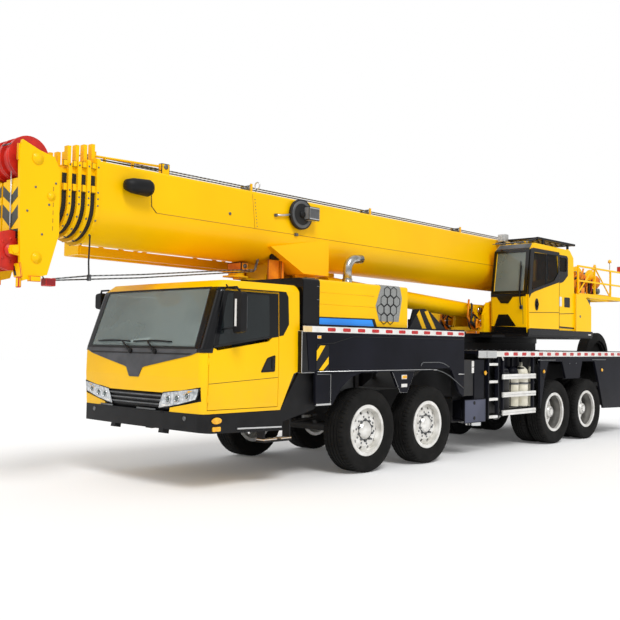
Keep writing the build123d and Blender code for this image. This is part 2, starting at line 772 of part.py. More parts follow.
for side_name, side in SIDES:
    with BuildPart() as cab_door:
        add(cab_body.part)
        add(cab_void.part, mode=Mode.SUBTRACT)
        side_plate(door_panel, side * 1180, side * 1330, Mode.INTERSECT)
        side_plate(door_window, side * 1180, side * 1330, Mode.SUBTRACT)
        for z0 in door_hinge_z:
            pocket = door_hinge_radius + seat_gap
            upright(door_hinge_x, side * cab_half_width, z0 - 6, z0 + 86, pocket, Mode.SUBTRACT)
    write(cab_door.part, f"cab_door_{side_name}")
    with BuildPart() as mirror:
        block(4900, 5010, side * 1420, side * 1600, 1800, 2400)
        mirror_edges = mirror.edges().filter_by(Axis.Z)
        fillet(mirror_edges, 30)
        block(4948, 4976, side * 1278.6, side * 1514, 2436, 2460)
        block(4948, 4976, side * 1486, side * 1514, 2370, 2460)
        block(4948, 4976, side * (cab_half_width + seat_gap), side * 1514, 1680, 1704)
        block(4948, 4976, side * 1486, side * 1514, 1680, 1830)
    write(mirror.part, f"mirror_{side_name}")

with BuildPart() as cab_interior:
    floor = cab_floor_z + cab_wall
    block(4100, 5200, -1200, 1200, floor, floor + 20)
    block(4150, 4750, -330, 330, floor + 20, floor + 330)
    for y in (-780, 780):
        block(4130, 4650, y - 260, y + 260, floor + 20, floor + 430)
        back = [(4100, floor + 380), (4290, floor + 380), (4180, floor + 1130), (4070, floor + 1130)]
        side_plate(back, y - 240, y + 240)
    dash = [
        (4900, floor + 500),
        (5120, floor + 20),
        (5220, floor + 20),
        (5230, 1560),
        (5100, 1690),
        (4950, 1650),
    ]
    side_plate(dash, -1190, 1190)
    round_bar((5000, 780, 1500), (4830, 780, 1720), 30)
    round_bar((4842, 780, 1704), (4826, 780, 1725), 225)
write(cab_interior.part, "cab_interior")

with BuildPart() as front_bumper:
    belt_shape = cab_outline(belt_bottom_z, 5395, 5340, 5240, 1285, 0)
    extrude(belt_shape, amount=cab_floor_z - belt_bottom_z)
    belt_void = cab_outline(belt_bottom_z - 20, 5395, 5340, 5240, 1285, 60)
    extrude(belt_void, amount=300, mode=Mode.SUBTRACT)
    block(cab_rear_x - 10, belt_rear_x, -1400, 1400, 600, 1000, Mode.SUBTRACT)
    valance = [(5500, 600), (5500, 765), (5200, 735), (belt_rear_x - 50, 700), (belt_rear_x - 50, 600)]
    side_plate(valance, -1400, 1400, Mode.SUBTRACT)
    for z0 in (1012, 1075, 1138):
        block(5290, 5375, -690, 690, z0, z0 + 42)
    for y in (-560, 0, 560):
        block(5292, 5330, y - 15, y + 15, cab_floor_z - 40, 1190)
    for y in (-480, 560):
        hook = [(5280, 800), (5375, 800), (5395, 705), (5300, 690)]
        side_plate(hook, y - 45, y + 45)
    for side in (1, -1):
        lamp = [(side * y, z) for y, z in lamp_glass]
        cross_plate(lamp, 5255, 5318)
        rear_guard = [
            (cab_rear_x, 1440),
            (3390, 1440),
            (3390, 950),
            (belt_rear_x + 60, 800),
            (belt_rear_x + 60, cab_floor_z - 4),
            (4040, cab_floor_z - 4),
        ]
        side_plate(rear_guard, side * 1245, side * 1285)
        block(3800, 4300, side * 1120, side * 1270, 560, 585)
        for x in (3820, 4280):
            block(x - 12, x + 12, side * 1120, side * 1250, 580, 850)
write(front_bumper.part, "front_bumper")

# ---- Outriggers ---------------------------------------------------------------------------------
beam_width = (outrigger_length - 2 * box_wall - 3 * beam_clearance) / 2
beam_bottom = box_bottom + box_wall + beam_clearance
beam_top = box_top - box_wall - beam_clearance
for end_name, rear_x in (("front", outrigger_rear_x[0]), ("rear", outrigger_rear_x[1])):
    for side_name, side in SIDES:
        rank = 0 if side > 0 else 1
        beam_x0 = rear_x + box_wall + beam_clearance + rank * (beam_width + beam_clearance)
        beam_x1 = beam_x0 + beam_width
        jack_x = (beam_x0 + beam_x1) / 2
        with BuildPart() as beam:
            y_in = -side * beam_inner_y
            y_out = side * (end_plate_y - end_plate_thickness)
            block(beam_x0, beam_x1, y_in, y_out, beam_bottom, beam_top)
            w = beam_wall
            y0 = y_in - side * 5
            z0 = beam_bottom + w
            block(beam_x0 + w, beam_x1 - w, y0, side * 1080, z0, beam_top - w, Mode.SUBTRACT)
            block(rear_x, rear_x + outrigger_length, y_out, side * end_plate_y, box_bottom, box_top)
            upright(jack_x, side * jack_y, jack_tube_bottom, jack_tube_top, jack_tube_radius)
            y_in_housing = side * housing_inner_y
            y_out_housing = side * housing_outer_y
            low = box_top - 25
            high = housing_top[end_name]
            block(beam_x0, beam_x1, y_in_housing, y_out_housing, low, high)
            bore_top = jack_tube_top - 20
            bore = jack_rod_radius + pin_gap
            upright(jack_x, side * jack_y, jack_tube_bottom - 5, bore_top, bore, Mode.SUBTRACT)
        write(beam.part, f"outrigger_beam_{end_name}_{side_name}")
        with BuildPart() as jack:
            upright(jack_x, side * jack_y, jack_foot_bottom + 55, jack_tube_top - 20 - 5, jack_rod_radius)
            upright(jack_x, side * jack_y, jack_foot_bottom, jack_foot_bottom + 55, jack_foot_radius)
        write(jack.part, f"outrigger_jack_{end_name}_{side_name}")

# ---- Turntable ----------------------------------------------------------------------------------
pivot_x, pivot_z = boom_pivot
foot_x, foot_z = luff_foot
cheek = [
    (-2050, table_base_top - 10),
    (-2050, 2420),
    (-2180, 2660),
    (-2560, 2660),
    (-3300, 2560),
    (-4250, 2900),
    (-4600, 3370),
    (-5060, 3370),
    (-5300, 3060),
    (-7080, 3060),
    (-7080, 2910),
    (-5400, 2910),
    (-5250, 2800),
    (-5250, table_base_top - 10),
]
with BuildPart() as turntable:
    upright(slew_x, 0, ring_top + seat_gap, table_base_bottom, ring_radius + 20)
    upright(slew_x, 0, ring_top - 20, table_base_bottom + 60, 560, Mode.SUBTRACT)
    base = [
        (-5250, -900),
        (-5250, 900),
        (-4300, 1100),
        (-2500, 1100),
        (-2050, 700),
        (-2050, -700),
        (-2500, -1100),
        (-4300, -1100),
    ]
    flat_plate(base, table_base_bottom, table_base_top)
    upright(slew_x, 0, ring_top - 20, table_base_top + 60, 540, Mode.SUBTRACT)
    for side in (1, -1):
        side_plate(cheek, side * cheek_inner_y, side * cheek_outer_y)
        lug = [
            (foot_x - 300, table_base_top - 5),
            (foot_x - 130, foot_z + 120),
            (foot_x + 130, foot_z + 120),
            (foot_x + 290, table_base_top - 5),
        ]
        side_plate(lug, side * 165, side * 225)
    block(-5250, -5200, -cheek_inner_y - 5, cheek_inner_y + 5, table_base_top - 5, 2780)
    block(-2100, -2050, -cheek_inner_y - 5, cheek_inner_y + 5, table_base_top - 5, 2200)
    for x in (-5420, -6440, -7060):
        block(x - 20, x + 20, -cheek_inner_y - 5, cheek_inner_y + 5, 2912, 2948)
    for x in (-5960, tail_end_x + 40):
        block(x - 40, x + 40, -tail_rail_y, tail_rail_y, 2912, 2948)
    for side in (1, -1):
        block(-7080, tail_end_x, side * cheek_inner_y, side * cheek_outer_y, 2912, 3060)
        block(-5100, tail_end_x, side * (tail_rail_y - 60), side * tail_rail_y, 2905, 2985)
        block(-5140, -5060, side * cheek_inner_y, side * tail_rail_y, 2905, 2948)
        for z in (3250, 3560):
            block(-5100, tail_end_x, side * (tail_rail_y - 45), side * (tail_rail_y - 10), z - 18, z + 18)
        for x in (-5100, -5880, -6680, tail_end_x + 36):
            block(x, x - 36, side * (tail_rail_y - 45), side * (tail_rail_y - 10), 2980, 3570)
        for x0, x1 in ((-5140, -5840), (-6680, -5960)):
            low_z, high_z = 2990, 3550
            strut = [(x0, low_z), (x0 + 30, low_z), (x1 + 30, high_z), (x1, high_z)]
            side_plate(strut, side * (tail_rail_y - 40), side * (tail_rail_y - 15))
    crosswise(pivot_x, pivot_z, -cheek_outer_y - 40, cheek_outer_y + 40, pivot_pin_radius)
    crosswise(foot_x, foot_z, -225, 225, luff_pin_radius)
    y0 = cheek_outer_y - 5
    block(-4850, -2230, y0, crane_cab_outer_y - 5, table_base_bottom + 20, table_base_top + 40)
    block(-5050, -2700, -1330, -cheek_outer_y - 30, table_base_bottom + 20, 2700)
    block(-5050, -2700, -cheek_outer_y - 35, -cheek_outer_y + 5, table_base_bottom + 20, 2300)
write(turntable.part, "turntable")

for name, x, drum, flange in (("main_winch", -6080, 235, 320), ("auxiliary_winch", -6745, 215, 290)):
    with BuildPart() as winch:
        crosswise(x, winch_z, -cheek_inner_y + 40, cheek_inner_y - 40, drum)
        for side in (1, -1):
            crosswise(x, winch_z, side * (cheek_inner_y - 60), side * (cheek_inner_y - 80), flange)
            outline = [(x - 150, 3060), (x + 150, 3060), (x + 90, winch_z + 120), (x - 90, winch_z + 120)]
            side_plate(outline, side * (cheek_inner_y - 5), side * cheek_outer_y)
            crosswise(x, winch_z, side * (cheek_inner_y - 60), side * cheek_inner_y, 90)
    write(winch.part, name)

with BuildPart() as counterweight:
    outline = [(-6330, -600), (-6330, 600), (-5950, 640), (-5412, 640), (-5412, -640), (-5950, -640)]
    flat_plate(outline, 2215, 2910)
write(counterweight.part, "counterweight")

# ---- Luffing cylinder ---------------------------------------------------------------------------
eye_x, eye_z = raised(*luff_eye)
luff_length = math.hypot(eye_x - foot_x, eye_z - foot_z)
luff_angle = math.degrees(math.atan2(eye_z - foot_z, eye_x - foot_x))


def along_luff(distance):
    """The point on the cylinder's axis at a distance from its foot."""
    share = distance / luff_length
    return (foot_x + (eye_x - foot_x) * share, 0, foot_z + (eye_z - foot_z) * share)


with BuildPart() as luff_barrel:
    crosswise(foot_x, foot_z, -160, 160, 125)
    round_bar(along_luff(60), along_luff(luff_barrel_length), luff_barrel_radius)
    bore_from = along_luff(240)
    round_bar(bore_from, along_luff(luff_barrel_length + 10), luff_rod_radius + pin_gap, Mode.SUBTRACT)
    crosswise(foot_x, foot_z, -170, 170, luff_pin_radius + pin_gap, Mode.SUBTRACT)
write(luff_barrel.part, "luff_barrel")

with BuildPart() as luff_rod:
    round_bar(along_luff(luff_length - luff_stroke_reserve), along_luff(luff_length - 40), luff_rod_radius)
    crosswise(eye_x, eye_z, -95, 95, luff_eye_radius)
    crosswise(eye_x, eye_z, -110, 110, luff_pin_radius + pin_gap, Mode.SUBTRACT)
write(luff_rod.part, "luff_rod")


# ---- Boom ---------------------------------------------------------------------------------------
def boom_profile(x, inset):
    """A section across the level boom: flat top, upright sides and a deep half-oval belly."""
    half = boom_half_width - inset
    top = boom_top_z - inset
    depth = boom_fold_z - boom_bottom_z - inset
    round_off = max(boom_top_corner - inset / 4, 8)
    with BuildSketch(Plane(origin=(x, 0, 0), x_dir=(0, 1, 0), z_dir=(1, 0, 0))) as outline:
        with BuildLine():
            Line((-half, boom_fold_z), (-half, top - round_off))
            RadiusArc((-half, top - round_off), (-half + round_off, top), round_off)
            Line((-half + round_off, top), (half - round_off, top))
            RadiusArc((half - round_off, top), (half, top - round_off), round_off)
            Line((half, top - round_off), (half, boom_fold_z))
            EllipticalCenterArc((0, boom_fold_z), half, depth, 180, arc_size=180)
        make_face()
    return outline.sketch


lean = math.radians(boom_rise)
nose_x = half_length - lower_sheave_radius
nose_dz = lower_sheave_z - boom_pivot[1]
nose_dx = (nose_x - boom_pivot[0] + nose_dz * math.sin(lean)) / math.cos(lean)
lower_sheave = (boom_pivot[0] + nose_dx, lower_sheave_z)
for rank in range(5):
    inset = rank * section_step
    rear = boom_rear_x if rank == 0 else section_rear_x + (rank - 1) * 60
    front = boom_front_x + rank * collar_pitch
    if rank == 4:
        front = head_rear_x + 60
    ear_x, ear_z = luff_eye
    with BuildPart() as section:
        extrude(boom_profile(rear, inset), amount=front - rear)
        if rank == 0:
            saddle = [(3465, 3150), (2785, 2815), (2235, 2815), (2245, 3370)]
            side_plate(saddle, -boom_half_width - 12, boom_half_width + 12)
            ear = [
                (ear_x - 420, boom_bottom_z + 60),
                (ear_x - 100, ear_z - 90),
                (ear_x + 100, ear_z - 90),
                (ear_x + 420, boom_bottom_z + 60),
            ]
            side_plate(ear, -165, 165)
            block(ear_x - 450, ear_x + 450, -112, 112, ear_z - 120, boom_bottom_z - 4, Mode.SUBTRACT)
        extrude(boom_profile(rear - 5, inset + section_wall), amount=front - rear + 10, mode=Mode.SUBTRACT)
        if rank < 4:
            collar_x = front - collar_thickness
            extrude(boom_profile(collar_x, inset - 22), amount=collar_thickness)
            mouth = boom_profile(collar_x - 5, inset + section_step - seat_gap)
            extrude(mouth, amount=collar_thickness + 10, mode=Mode.SUBTRACT)
            top = boom_top_z - inset + 15
            for y in (-300, 300):
                block(collar_x, front, y - 40, y + 40, top, boom_top_z + 205 - rank * 25)
        if rank == 0:
            for side in (1, -1):
                crosswise(pivot_x, pivot_z, side * (boom_half_width - 8), side * (cheek_inner_y - 2), 150)
            bore = pivot_pin_radius + pin_gap
            crosswise(pivot_x, pivot_z, -cheek_inner_y, cheek_inner_y, bore, Mode.SUBTRACT)
            crosswise(ear_x, ear_z, -180, 180, luff_pin_radius, Mode.SUBTRACT)
        if rank == 4:
            head = [
                (7258, boom_top_z + 66),
                (7289, boom_top_z - 63),
                (7256, boom_bottom_z - 32),
                (7237, boom_bottom_z - 536),
                (6916, boom_bottom_z - 446),
                (6783, boom_bottom_z + 20),
                (6796, boom_top_z - 203),
                (6864, boom_top_z - 66),
                (7051, boom_top_z - 20),
            ]
            for side in (1, -1):
                side_plate(head, side * 405, side * 450)
            block(6800, 6850, -450, 450, boom_bottom_z + 40, boom_top_z - 215)
            for side in (1, -1):
                block(7215, 7245, side * 80, side * 450, boom_bottom_z + 35, boom_top_z - 345)
            crosswise(upper_sheave[0], upper_sheave[1], -450, 450, sheave_pin_radius)
            crosswise(lower_sheave[0], lower_sheave[1], -450, 450, sheave_pin_radius)
            x, z = lower_sheave
            for side in (1, -1):
                boss = [(x - 180, z - 80), (x + 55, z - 45), (x + 55, z + 45), (x - 180, z + 80)]
                side_plate(boss, side * 405, side * 435)
    write_raised(section.part, f"boom_section_{rank + 1}")

with BuildPart() as head_sheaves:
    sheave_rows = (upper_sheave + (upper_sheave_radius, 4), lower_sheave + (lower_sheave_radius, 4))
    for x, z, radius, count in sheave_rows:
        for number in range(count):
            y = -300 + number * 200
            grooved = [
                (y - 32, sheave_pin_radius + pin_gap),
                (y + 32, sheave_pin_radius + pin_gap),
                (y + 32, radius),
                (y + 22, radius),
                (y, radius - 32),
                (y - 22, radius),
                (y - 32, radius),
            ]
            turned(x, z, grooved)
write_raised(head_sheaves.part, "head_sheaves")

# ---- Fly jib ------------------------------------------------------------------------------------
with BuildPart() as fly_jib:
    outer_y = -900
    inner_y = -560
    bays = 6
    start_x = 1000
    end_x = 5900
    pitch = (end_x - start_x) / bays
    for y in (inner_y, outer_y):
        block(start_x, end_x, y - 25, y + 25, 2872, 2985)
        block(start_x, end_x, y - 25, y + 25, 3275, 3325)
    for step in range(bays + 1):
        x = start_x + step * pitch
        if step in (0, bays):
            block(x - 25, x + 25, outer_y, inner_y, 2875, 3325)
    for step in range(bays):
        x0 = start_x + step * pitch
        x1 = x0 + pitch
        low, high = (2900, 3300) if step % 2 else (3300, 2900)
        for y in (inner_y, outer_y):
            round_bar((x0, y, low), (x1, y, high), 18)
        near, far = (inner_y, outer_y) if step % 2 else (outer_y, inner_y)
        for z in (2900, 3300):
            round_bar((x0, near, z), (x1, far, z), 18)
    for x in (1500, 5000):
        block(x - 60, x + 60, inner_y, -boom_half_width, 3400, 3470)
        block(x - 60, x + 60, inner_y - 25, inner_y + 25, 3275, 3470)
write_raised(fly_jib.part, "fly_jib")

# ---- Crane cab ----------------------------------------------------------------------------------
cab_base = table_base_top + 40
cabin_side = [
    (-2235, cab_base),
    (-2205, 2815),
    (-2335, 3630),
    (-2500, 3770),
    (-3915, 3750),
    (-4075, 3610),
    (-4115, 2910),
    (-4115, cab_base),
]
cover_side = [(-4110, cab_base), (-4110, 2905), (-4515, 2870), (-4795, 2660), (-4795, cab_base)]
cabin_void = [
    (-2290, cab_base + 40),
    (-2255, 2815),
    (-2380, 3610),
    (-2515, 3722),
    (-3900, 3705),
    (-4030, 3590),
    (-4072, 2910),
    (-4072, cab_base + 40),
]
slide_opening = [(-2300, 2200), (-2265, 2815), (-2390, 3600), (-3380, 3620), (-3380, 2200)]
slide_panel = [(-2262, 2160), (-2232, 2815), (-2355, 3640), (-2400, 3670), (-3420, 3670), (-3420, 2160)]
slide_window = [(-2300, 2850), (-2405, 3580), (-3330, 3600), (-3380, 3240), (-3200, 3060)]
cab_skin_y = crane_cab_outer_y - 38
with BuildPart() as crane_cab_shell:
    side_plate(cabin_side, crane_cab_inner_y, cab_skin_y)
    side_plate(cover_side, crane_cab_inner_y, crane_cab_outer_y)
    side_plate(cabin_void, crane_cab_inner_y + 40, cab_skin_y - 40, Mode.SUBTRACT)
    side_plate(slide_opening, cab_skin_y - 60, cab_skin_y + 20, Mode.SUBTRACT)
    rear_pane = [(-3470, 3300), (-3470, 3590), (-3960, 3590), (-4010, 3300)]
    side_plate(rear_pane, cab_skin_y - 60, cab_skin_y + 20, Mode.SUBTRACT)
    inner_pane = [(-2420, 2900), (-2500, 3600), (-3900, 3600), (-3900, 2900)]
    side_plate(inner_pane, crane_cab_inner_y - 10, crane_cab_inner_y + 60, Mode.SUBTRACT)
    front_pane = [
        (crane_cab_inner_y + 70, 2830),
        (cab_skin_y - 60, 2830),
        (cab_skin_y - 60, 3590),
        (crane_cab_inner_y + 70, 3590),
    ]
    cross_plate(front_pane, -2450, -2150, Mode.SUBTRACT)
    block(-3400, -2800, 760, 1160, cab_base + 30, cab_base + 420)
    block(-3520, -3380, 780, 1140, cab_base + 380, cab_base + 1050)
    guard_x0, guard_x1 = -4190, -2680
    for y in (crane_cab_inner_y + 50, cab_skin_y - 40):
        for x in (-2900, -3900):
            block(x - 25, x + 25, y - 15, y + 15, 3735, 3880)
        block(guard_x0, guard_x1, y - 22, y + 22, 3860, 3900)
    for step in range(7):
        x = guard_x0 + 20 + step * (guard_x1 - guard_x0 - 40) / 6
        block(x - 20, x + 20, crane_cab_inner_y + 50, cab_skin_y - 40, 3864, 3896)
    visor = [(-2240, 3745), (-2225, 3775), (-2660, 3875), (-2690, 3860)]
    for y in (crane_cab_inner_y + 50, cab_skin_y - 40):
        side_plate(visor, y - 18, y + 18)
write(crane_cab_shell.part, "crane_cab_shell")

with BuildPart() as crane_cab_door:
    side_plate(slide_panel, cab_skin_y + 6, crane_cab_outer_y)
    side_plate(slide_window, cab_skin_y, crane_cab_outer_y + 5, Mode.SUBTRACT)
    block(-2900, -2600, cab_skin_y + seat_gap, cab_skin_y + 8, 3640, 3665)
    block(-2900, -2600, cab_skin_y + seat_gap, cab_skin_y + 8, 2165, 2190)
write(crane_cab_door.part, "crane_cab_door")
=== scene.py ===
"""Dresses the four-axle truck crane: paint, glass, lamps, tyres, tape, ropes and small fittings.

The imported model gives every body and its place. Each operator makes one piece or a group of like
pieces around it, in metres, with +X forward, +Y to the left and +Z up from the ground.
"""

import math

import bmesh
import bpy
from mathutils import Matrix, Vector


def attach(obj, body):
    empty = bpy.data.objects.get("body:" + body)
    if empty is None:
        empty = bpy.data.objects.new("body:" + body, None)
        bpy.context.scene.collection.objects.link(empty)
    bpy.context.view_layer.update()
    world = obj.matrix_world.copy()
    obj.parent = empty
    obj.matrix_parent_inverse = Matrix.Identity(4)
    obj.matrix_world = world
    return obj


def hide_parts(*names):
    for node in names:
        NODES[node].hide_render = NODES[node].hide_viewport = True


bl_info = {
    "name": "Truck crane",
    "version": (1, 0, 0),
    "blender": (4, 5, 0),
    "location": "3D View > Sidebar > Crane",
    "description": "Finishes a four-axle truck crane around its packed frame",
    "category": "Object",
}

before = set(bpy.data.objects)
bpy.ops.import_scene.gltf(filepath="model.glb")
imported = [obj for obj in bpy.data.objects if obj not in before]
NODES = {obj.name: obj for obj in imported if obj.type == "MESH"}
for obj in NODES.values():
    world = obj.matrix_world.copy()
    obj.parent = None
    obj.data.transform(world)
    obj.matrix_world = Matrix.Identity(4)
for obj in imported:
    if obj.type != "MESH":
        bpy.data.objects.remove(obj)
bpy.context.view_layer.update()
SIDES = (("left", 1), ("right", -1))
AXLES = (2.325, 0.855, -3.250, -4.600)


# ---- Colour and node helpers --------------------------------------------------------------------
def linear(code):
    """An sRGB hex colour as linear RGBA."""
    values = [int(code[i : i + 2], 16) / 255 for i in (1, 3, 5)]
    turned = [v / 12.92 if v <= 0.04045 else ((v + 0.055) / 1.055) ** 2.4 for v in values]
    return (*turned, 1.0)


def add_node(tree, kind, inputs=None, **settings):
    """Adds one node with its settings. An input is a value, or a socket that gets linked."""
    made = tree.nodes.new(kind)
    for name, value in settings.items():
        setattr(made, name, value)
    for name, value in (inputs or {}).items():
        socket = made.inputs[name]
        if isinstance(value, bpy.types.NodeSocket):
            tree.links.new(value, socket)
        else:
            socket.default_value = value
    return made


def start_material(name):
    """An empty material with its output and Object coordinates."""
    material = bpy.data.materials.new(name)
    material.use_nodes = True
    tree = material.node_tree
    tree.nodes.clear()
    output = tree.nodes.new("ShaderNodeOutputMaterial")
    place = add_node(tree, "ShaderNodeTexCoord").outputs["Object"]
    return material, tree, output, place


def tone(tree, place, low, high, scale, detail=4.0, contrast=(0.35, 0.65)):
    """A colour that drifts between two tones over a real distance."""
    noise = add_node(
        tree, "ShaderNodeTexNoise", {"Vector": place, "Scale": scale, "Detail": detail}
    )
    ramp = add_node(tree, "ShaderNodeValToRGB", {"Fac": noise.outputs["Fac"]})
    ramp.color_ramp.elements[0].position = contrast[0]
    ramp.color_ramp.elements[1].position = contrast[1]
    ramp.color_ramp.elements[0].color = linear(low)
    ramp.color_ramp.elements[1].color = linear(high)
    return ramp.outputs["Color"]


def grain(tree, place, scale, strength, distance):
    """A fine surface relief from noise, as a normal."""
    noise = add_node(tree, "ShaderNodeTexNoise", {"Vector": place, "Scale": scale, "Detail": 3.0})
    bump = add_node(
        tree,
        "ShaderNodeBump",
        {"Height": noise.outputs["Fac"], "Strength": strength, "Distance": distance},
    )
    return bump.outputs["Normal"]


def surface(tree, output, color, normal=None, **sockets):
    """The closing shader with its sockets set on itself."""
    inputs = {name.replace("_", " "): value for name, value in sockets.items()}
    inputs["Base Color"] = color
    if normal is not None:
        inputs["Normal"] = normal
    shader = add_node(tree, "ShaderNodeBsdfPrincipled", inputs)
    tree.links.new(shader.outputs["BSDF"], output.inputs["Surface"])
    return shader


# ---- Finishes -----------------------------------------------------------------------------------
FINISHES = {}


def finish(name):
    """The finished material of that name, made the first time it is asked for."""
    if name not in FINISHES:
        FINISHES[name] = MAKERS[name]()
    return FINISHES[name]


def road_grime(tree, place, color, low, high, dust):
    """Mixes a little dust into a colour near the ground."""
    height = add_node(tree, "ShaderNodeSeparateXYZ", {"Vector": place}).outputs["Z"]
    ramp = add_node(
        tree,
        "ShaderNodeMapRange",
        {"Value": height, "From Min": low, "From Max": high, "To Min": 0.35, "To Max": 0.0},
    )
    noise = add_node(tree, "ShaderNodeTexNoise", {"Vector": place, "Scale": 9.0, "Detail": 6.0})
    amount = add_node(
        tree,
        "ShaderNodeMath",
        {0: ramp.outputs["Result"], 1: noise.outputs["Fac"]},
        operation="MULTIPLY",
    )
    mix = add_node(
        tree,
        "ShaderNodeMix",
        {"Factor": amount.outputs["Value"], 6: color, 7: linear(dust)},
        data_type="RGBA",
    )
    return mix.outputs[2]


def enamel_parted_at(tree, output, place, height, dark_side):
    """Yellow enamel on one side of a height and black on the other."""
    tint = bpy.context.scene.crane_finish.body_colour
    split = add_node(tree, "ShaderNodeSeparateXYZ", {"Vector": place})
    kind = "LESS_THAN" if dark_side == "below" else "GREATER_THAN"
    dark = add_node(tree, "ShaderNodeMath", {0: split.outputs["Z"], 1: height}, operation=kind)
    mix = add_node(
        tree,
        "ShaderNodeMix",
        {"Factor": dark.outputs["Value"], 6: (*tint, 1.0), 7: linear("#131315")},
        data_type="RGBA",
    )
    surface(tree, output, mix.outputs[2], grain(tree, place, 55.0, 0.05, 0.004), Roughness=0.36,
            Specular_IOR_Level=0.16, Coat_Weight=0.06, Coat_Roughness=0.12)


def make_yellow_enamel():
    """Two-pack machine enamel, sprayed on steel: bright, with a soft orange peel under its coat."""
    material, tree, output, place = start_material("yellow_enamel")
    tint = bpy.context.scene.crane_finish.body_colour
    deep = bpy.context.scene.crane_finish.body_shade
    noise = add_node(tree, "ShaderNodeTexNoise", {"Vector": place, "Scale": 0.7, "Detail": 5.0})
    ramp = add_node(tree, "ShaderNodeValToRGB", {"Fac": noise.outputs["Fac"]})
    ramp.color_ramp.elements[0].position = 0.30
    ramp.color_ramp.elements[1].position = 0.62
    ramp.color_ramp.elements[0].color = (*deep, 1.0)
    ramp.color_ramp.elements[1].color = (*tint, 1.0)
    color = road_grime(tree, place, ramp.outputs["Color"], 0.7, 1.6, "#B79A55")
    surface(
        tree,
        output,
        color,
        grain(tree, place, 55.0, 0.05, 0.004),
        Roughness=0.36,
        Specular_IOR_Level=0.16,
        Coat_Weight=0.06,
        Coat_Roughness=0.12,
    )
    return material


def make_navy_enamel():
    """Chassis enamel, sprayed satin: near-black blue that takes dust low down."""
    material, tree, output, place = start_material("navy_enamel")
    color = tone(tree, place, "#101118", "#171821", 1.4)
    color = road_grime(tree, place, color, 0.3, 1.2, "#4A4845")
    surface(tree, output, color, grain(tree, place, 70.0, 0.06, 0.003), Roughness=0.46,
            Specular_IOR_Level=0.10)
    return material


def make_chassis_black():
    """Brushed-on chassis black, dull with road film."""
    material, tree, output, place = start_material("chassis_black")
    color = tone(tree, place, "#141416", "#1F1F21", 3.0)
    color = road_grime(tree, place, color, 0.2, 1.3, "#5E5A54")
    surface(tree, output, color, grain(tree, place, 60.0, 0.12, 0.004), Roughness=0.6)
    return material


def make_tyre_rubber():
    """Vulcanised tyre rubber, moulded: matt black-brown with scuffed dust."""
    material, tree, output, place = start_material("tyre_rubber")
    color = tone(tree, place, "#0F0F0E", "#191817", 6.0, 8.0)
    surface(tree, output, color, grain(tree, place, 160.0, 0.25, 0.002), Roughness=0.82,
            Specular_IOR_Level=0.2)
    return material


def make_wheel_silver():
    """Silver wheel enamel, sprayed on pressed steel; the darker dishes of the twin wheels are
    painted shade in a finish of their own.
    """
    material, tree, output, place = start_material("wheel_silver")
    color = tone(tree, place, "#D6D4CE", "#F4F3F0", 7.0, 6.0)
    surface(
        tree,
        output,
        color,
        grain(tree, place, 120.0, 0.06, 0.002),
        Metallic=0.35,
        Roughness=0.36,
        Coat_Weight=0.2,
    )
    return material


def make_black_plastic():
    """Moulded black polypropylene with a fine leather-like grain."""
    material, tree, output, place = start_material("black_polypropylene")
    color = tone(tree, place, "#0D0D0F", "#151517", 5.0)
    surface(tree, output, color, grain(tree, place, 260.0, 0.2, 0.0012), Roughness=0.52,
            Specular_IOR_Level=0.25)
    return material


def make_gloss_black():
    """Gloss black ABS panel."""
    material, tree, output, place = start_material("gloss_black_abs")
    color = tone(tree, place, "#0A0A0C", "#101114", 2.0)
    surface(tree, output, color, None, Roughness=0.2, Specular_IOR_Level=0.25, Coat_Weight=0.08)
    return material


def make_cab_glass():
    """Tinted laminated glass, float-flat."""
    material, tree, output, place = start_material("tinted_glass")
    color = tone(tree, place, "#8E9C9B", "#9FACAA", 0.6)
    surface(
        tree, output, color, None, Roughness=0.015, Transmission_Weight=0.92, IOR=1.45,
        Specular_IOR_Level=0.6,
    )
    return material


def make_dark_glass():
    """Privacy-tinted tempered glass."""
    material, tree, output, place = start_material("privacy_glass")
    color = tone(tree, place, "#1E2426", "#2A3133", 0.8)
    surface(tree, output, color, None, Roughness=0.03, Transmission_Weight=0.35, IOR=1.45)
    return material


def make_screen_glass():
    """Laminated windscreen of the crane cab; its light grey-green diffuse share is painted
    reflection, which greys it.
    """
    material, tree, output, place = start_material("laminated_glass_painted_reflection")
    # The light grey-green base colour, kept by the part of the glass that does not transmit, is
    # painted reflection.
    color = tone(tree, place, "#8E9D9C", "#AAB8B6", 0.9)
    surface(tree, output, color, None, Roughness=0.02, Transmission_Weight=0.62, IOR=1.3)
    return material


def make_door_glass():
    """Grey-tinted tempered glass of the crane cab, half see-through."""
    material, tree, output, place = start_material("grey_tempered_glass")
    color = tone(tree, place, "#5C6466", "#6A7274", 0.8)
    surface(tree, output, color, None, Roughness=0.0, Transmission_Weight=0.96, IOR=1.1)
    return material


def make_two_tone_base():
    """Machine enamel of the slewing base, with its foot masked and sprayed black."""
    material, tree, output, place = start_material("enamel_over_black_foot")
    enamel_parted_at(tree, output, place, 2.100, "below")
    return material


def make_two_tone_cab():
    """Machine enamel of the crane cab, with its roof guard masked and sprayed black."""
    material, tree, output, place = start_material("enamel_under_black_guard")
    enamel_parted_at(tree, output, place, 3.775, "above")
    return material


def make_mirror_glass():
    """Silvered mirror glass."""
    material, tree, output, place = start_material("mirror_glass")
    surface(tree, output, tone(tree, place, "#C9D0D4", "#D5DBDE", 1.0), None, Metallic=1.0,
            Roughness=0.03)
    return material


def make_rubber_seal():
    """Extruded window and door rubber."""
    material, tree, output, place = start_material("rubber_seal")
    surface(tree, output, tone(tree, place, "#0D0D0E", "#161616", 8.0), None, Roughness=0.7)
    return material


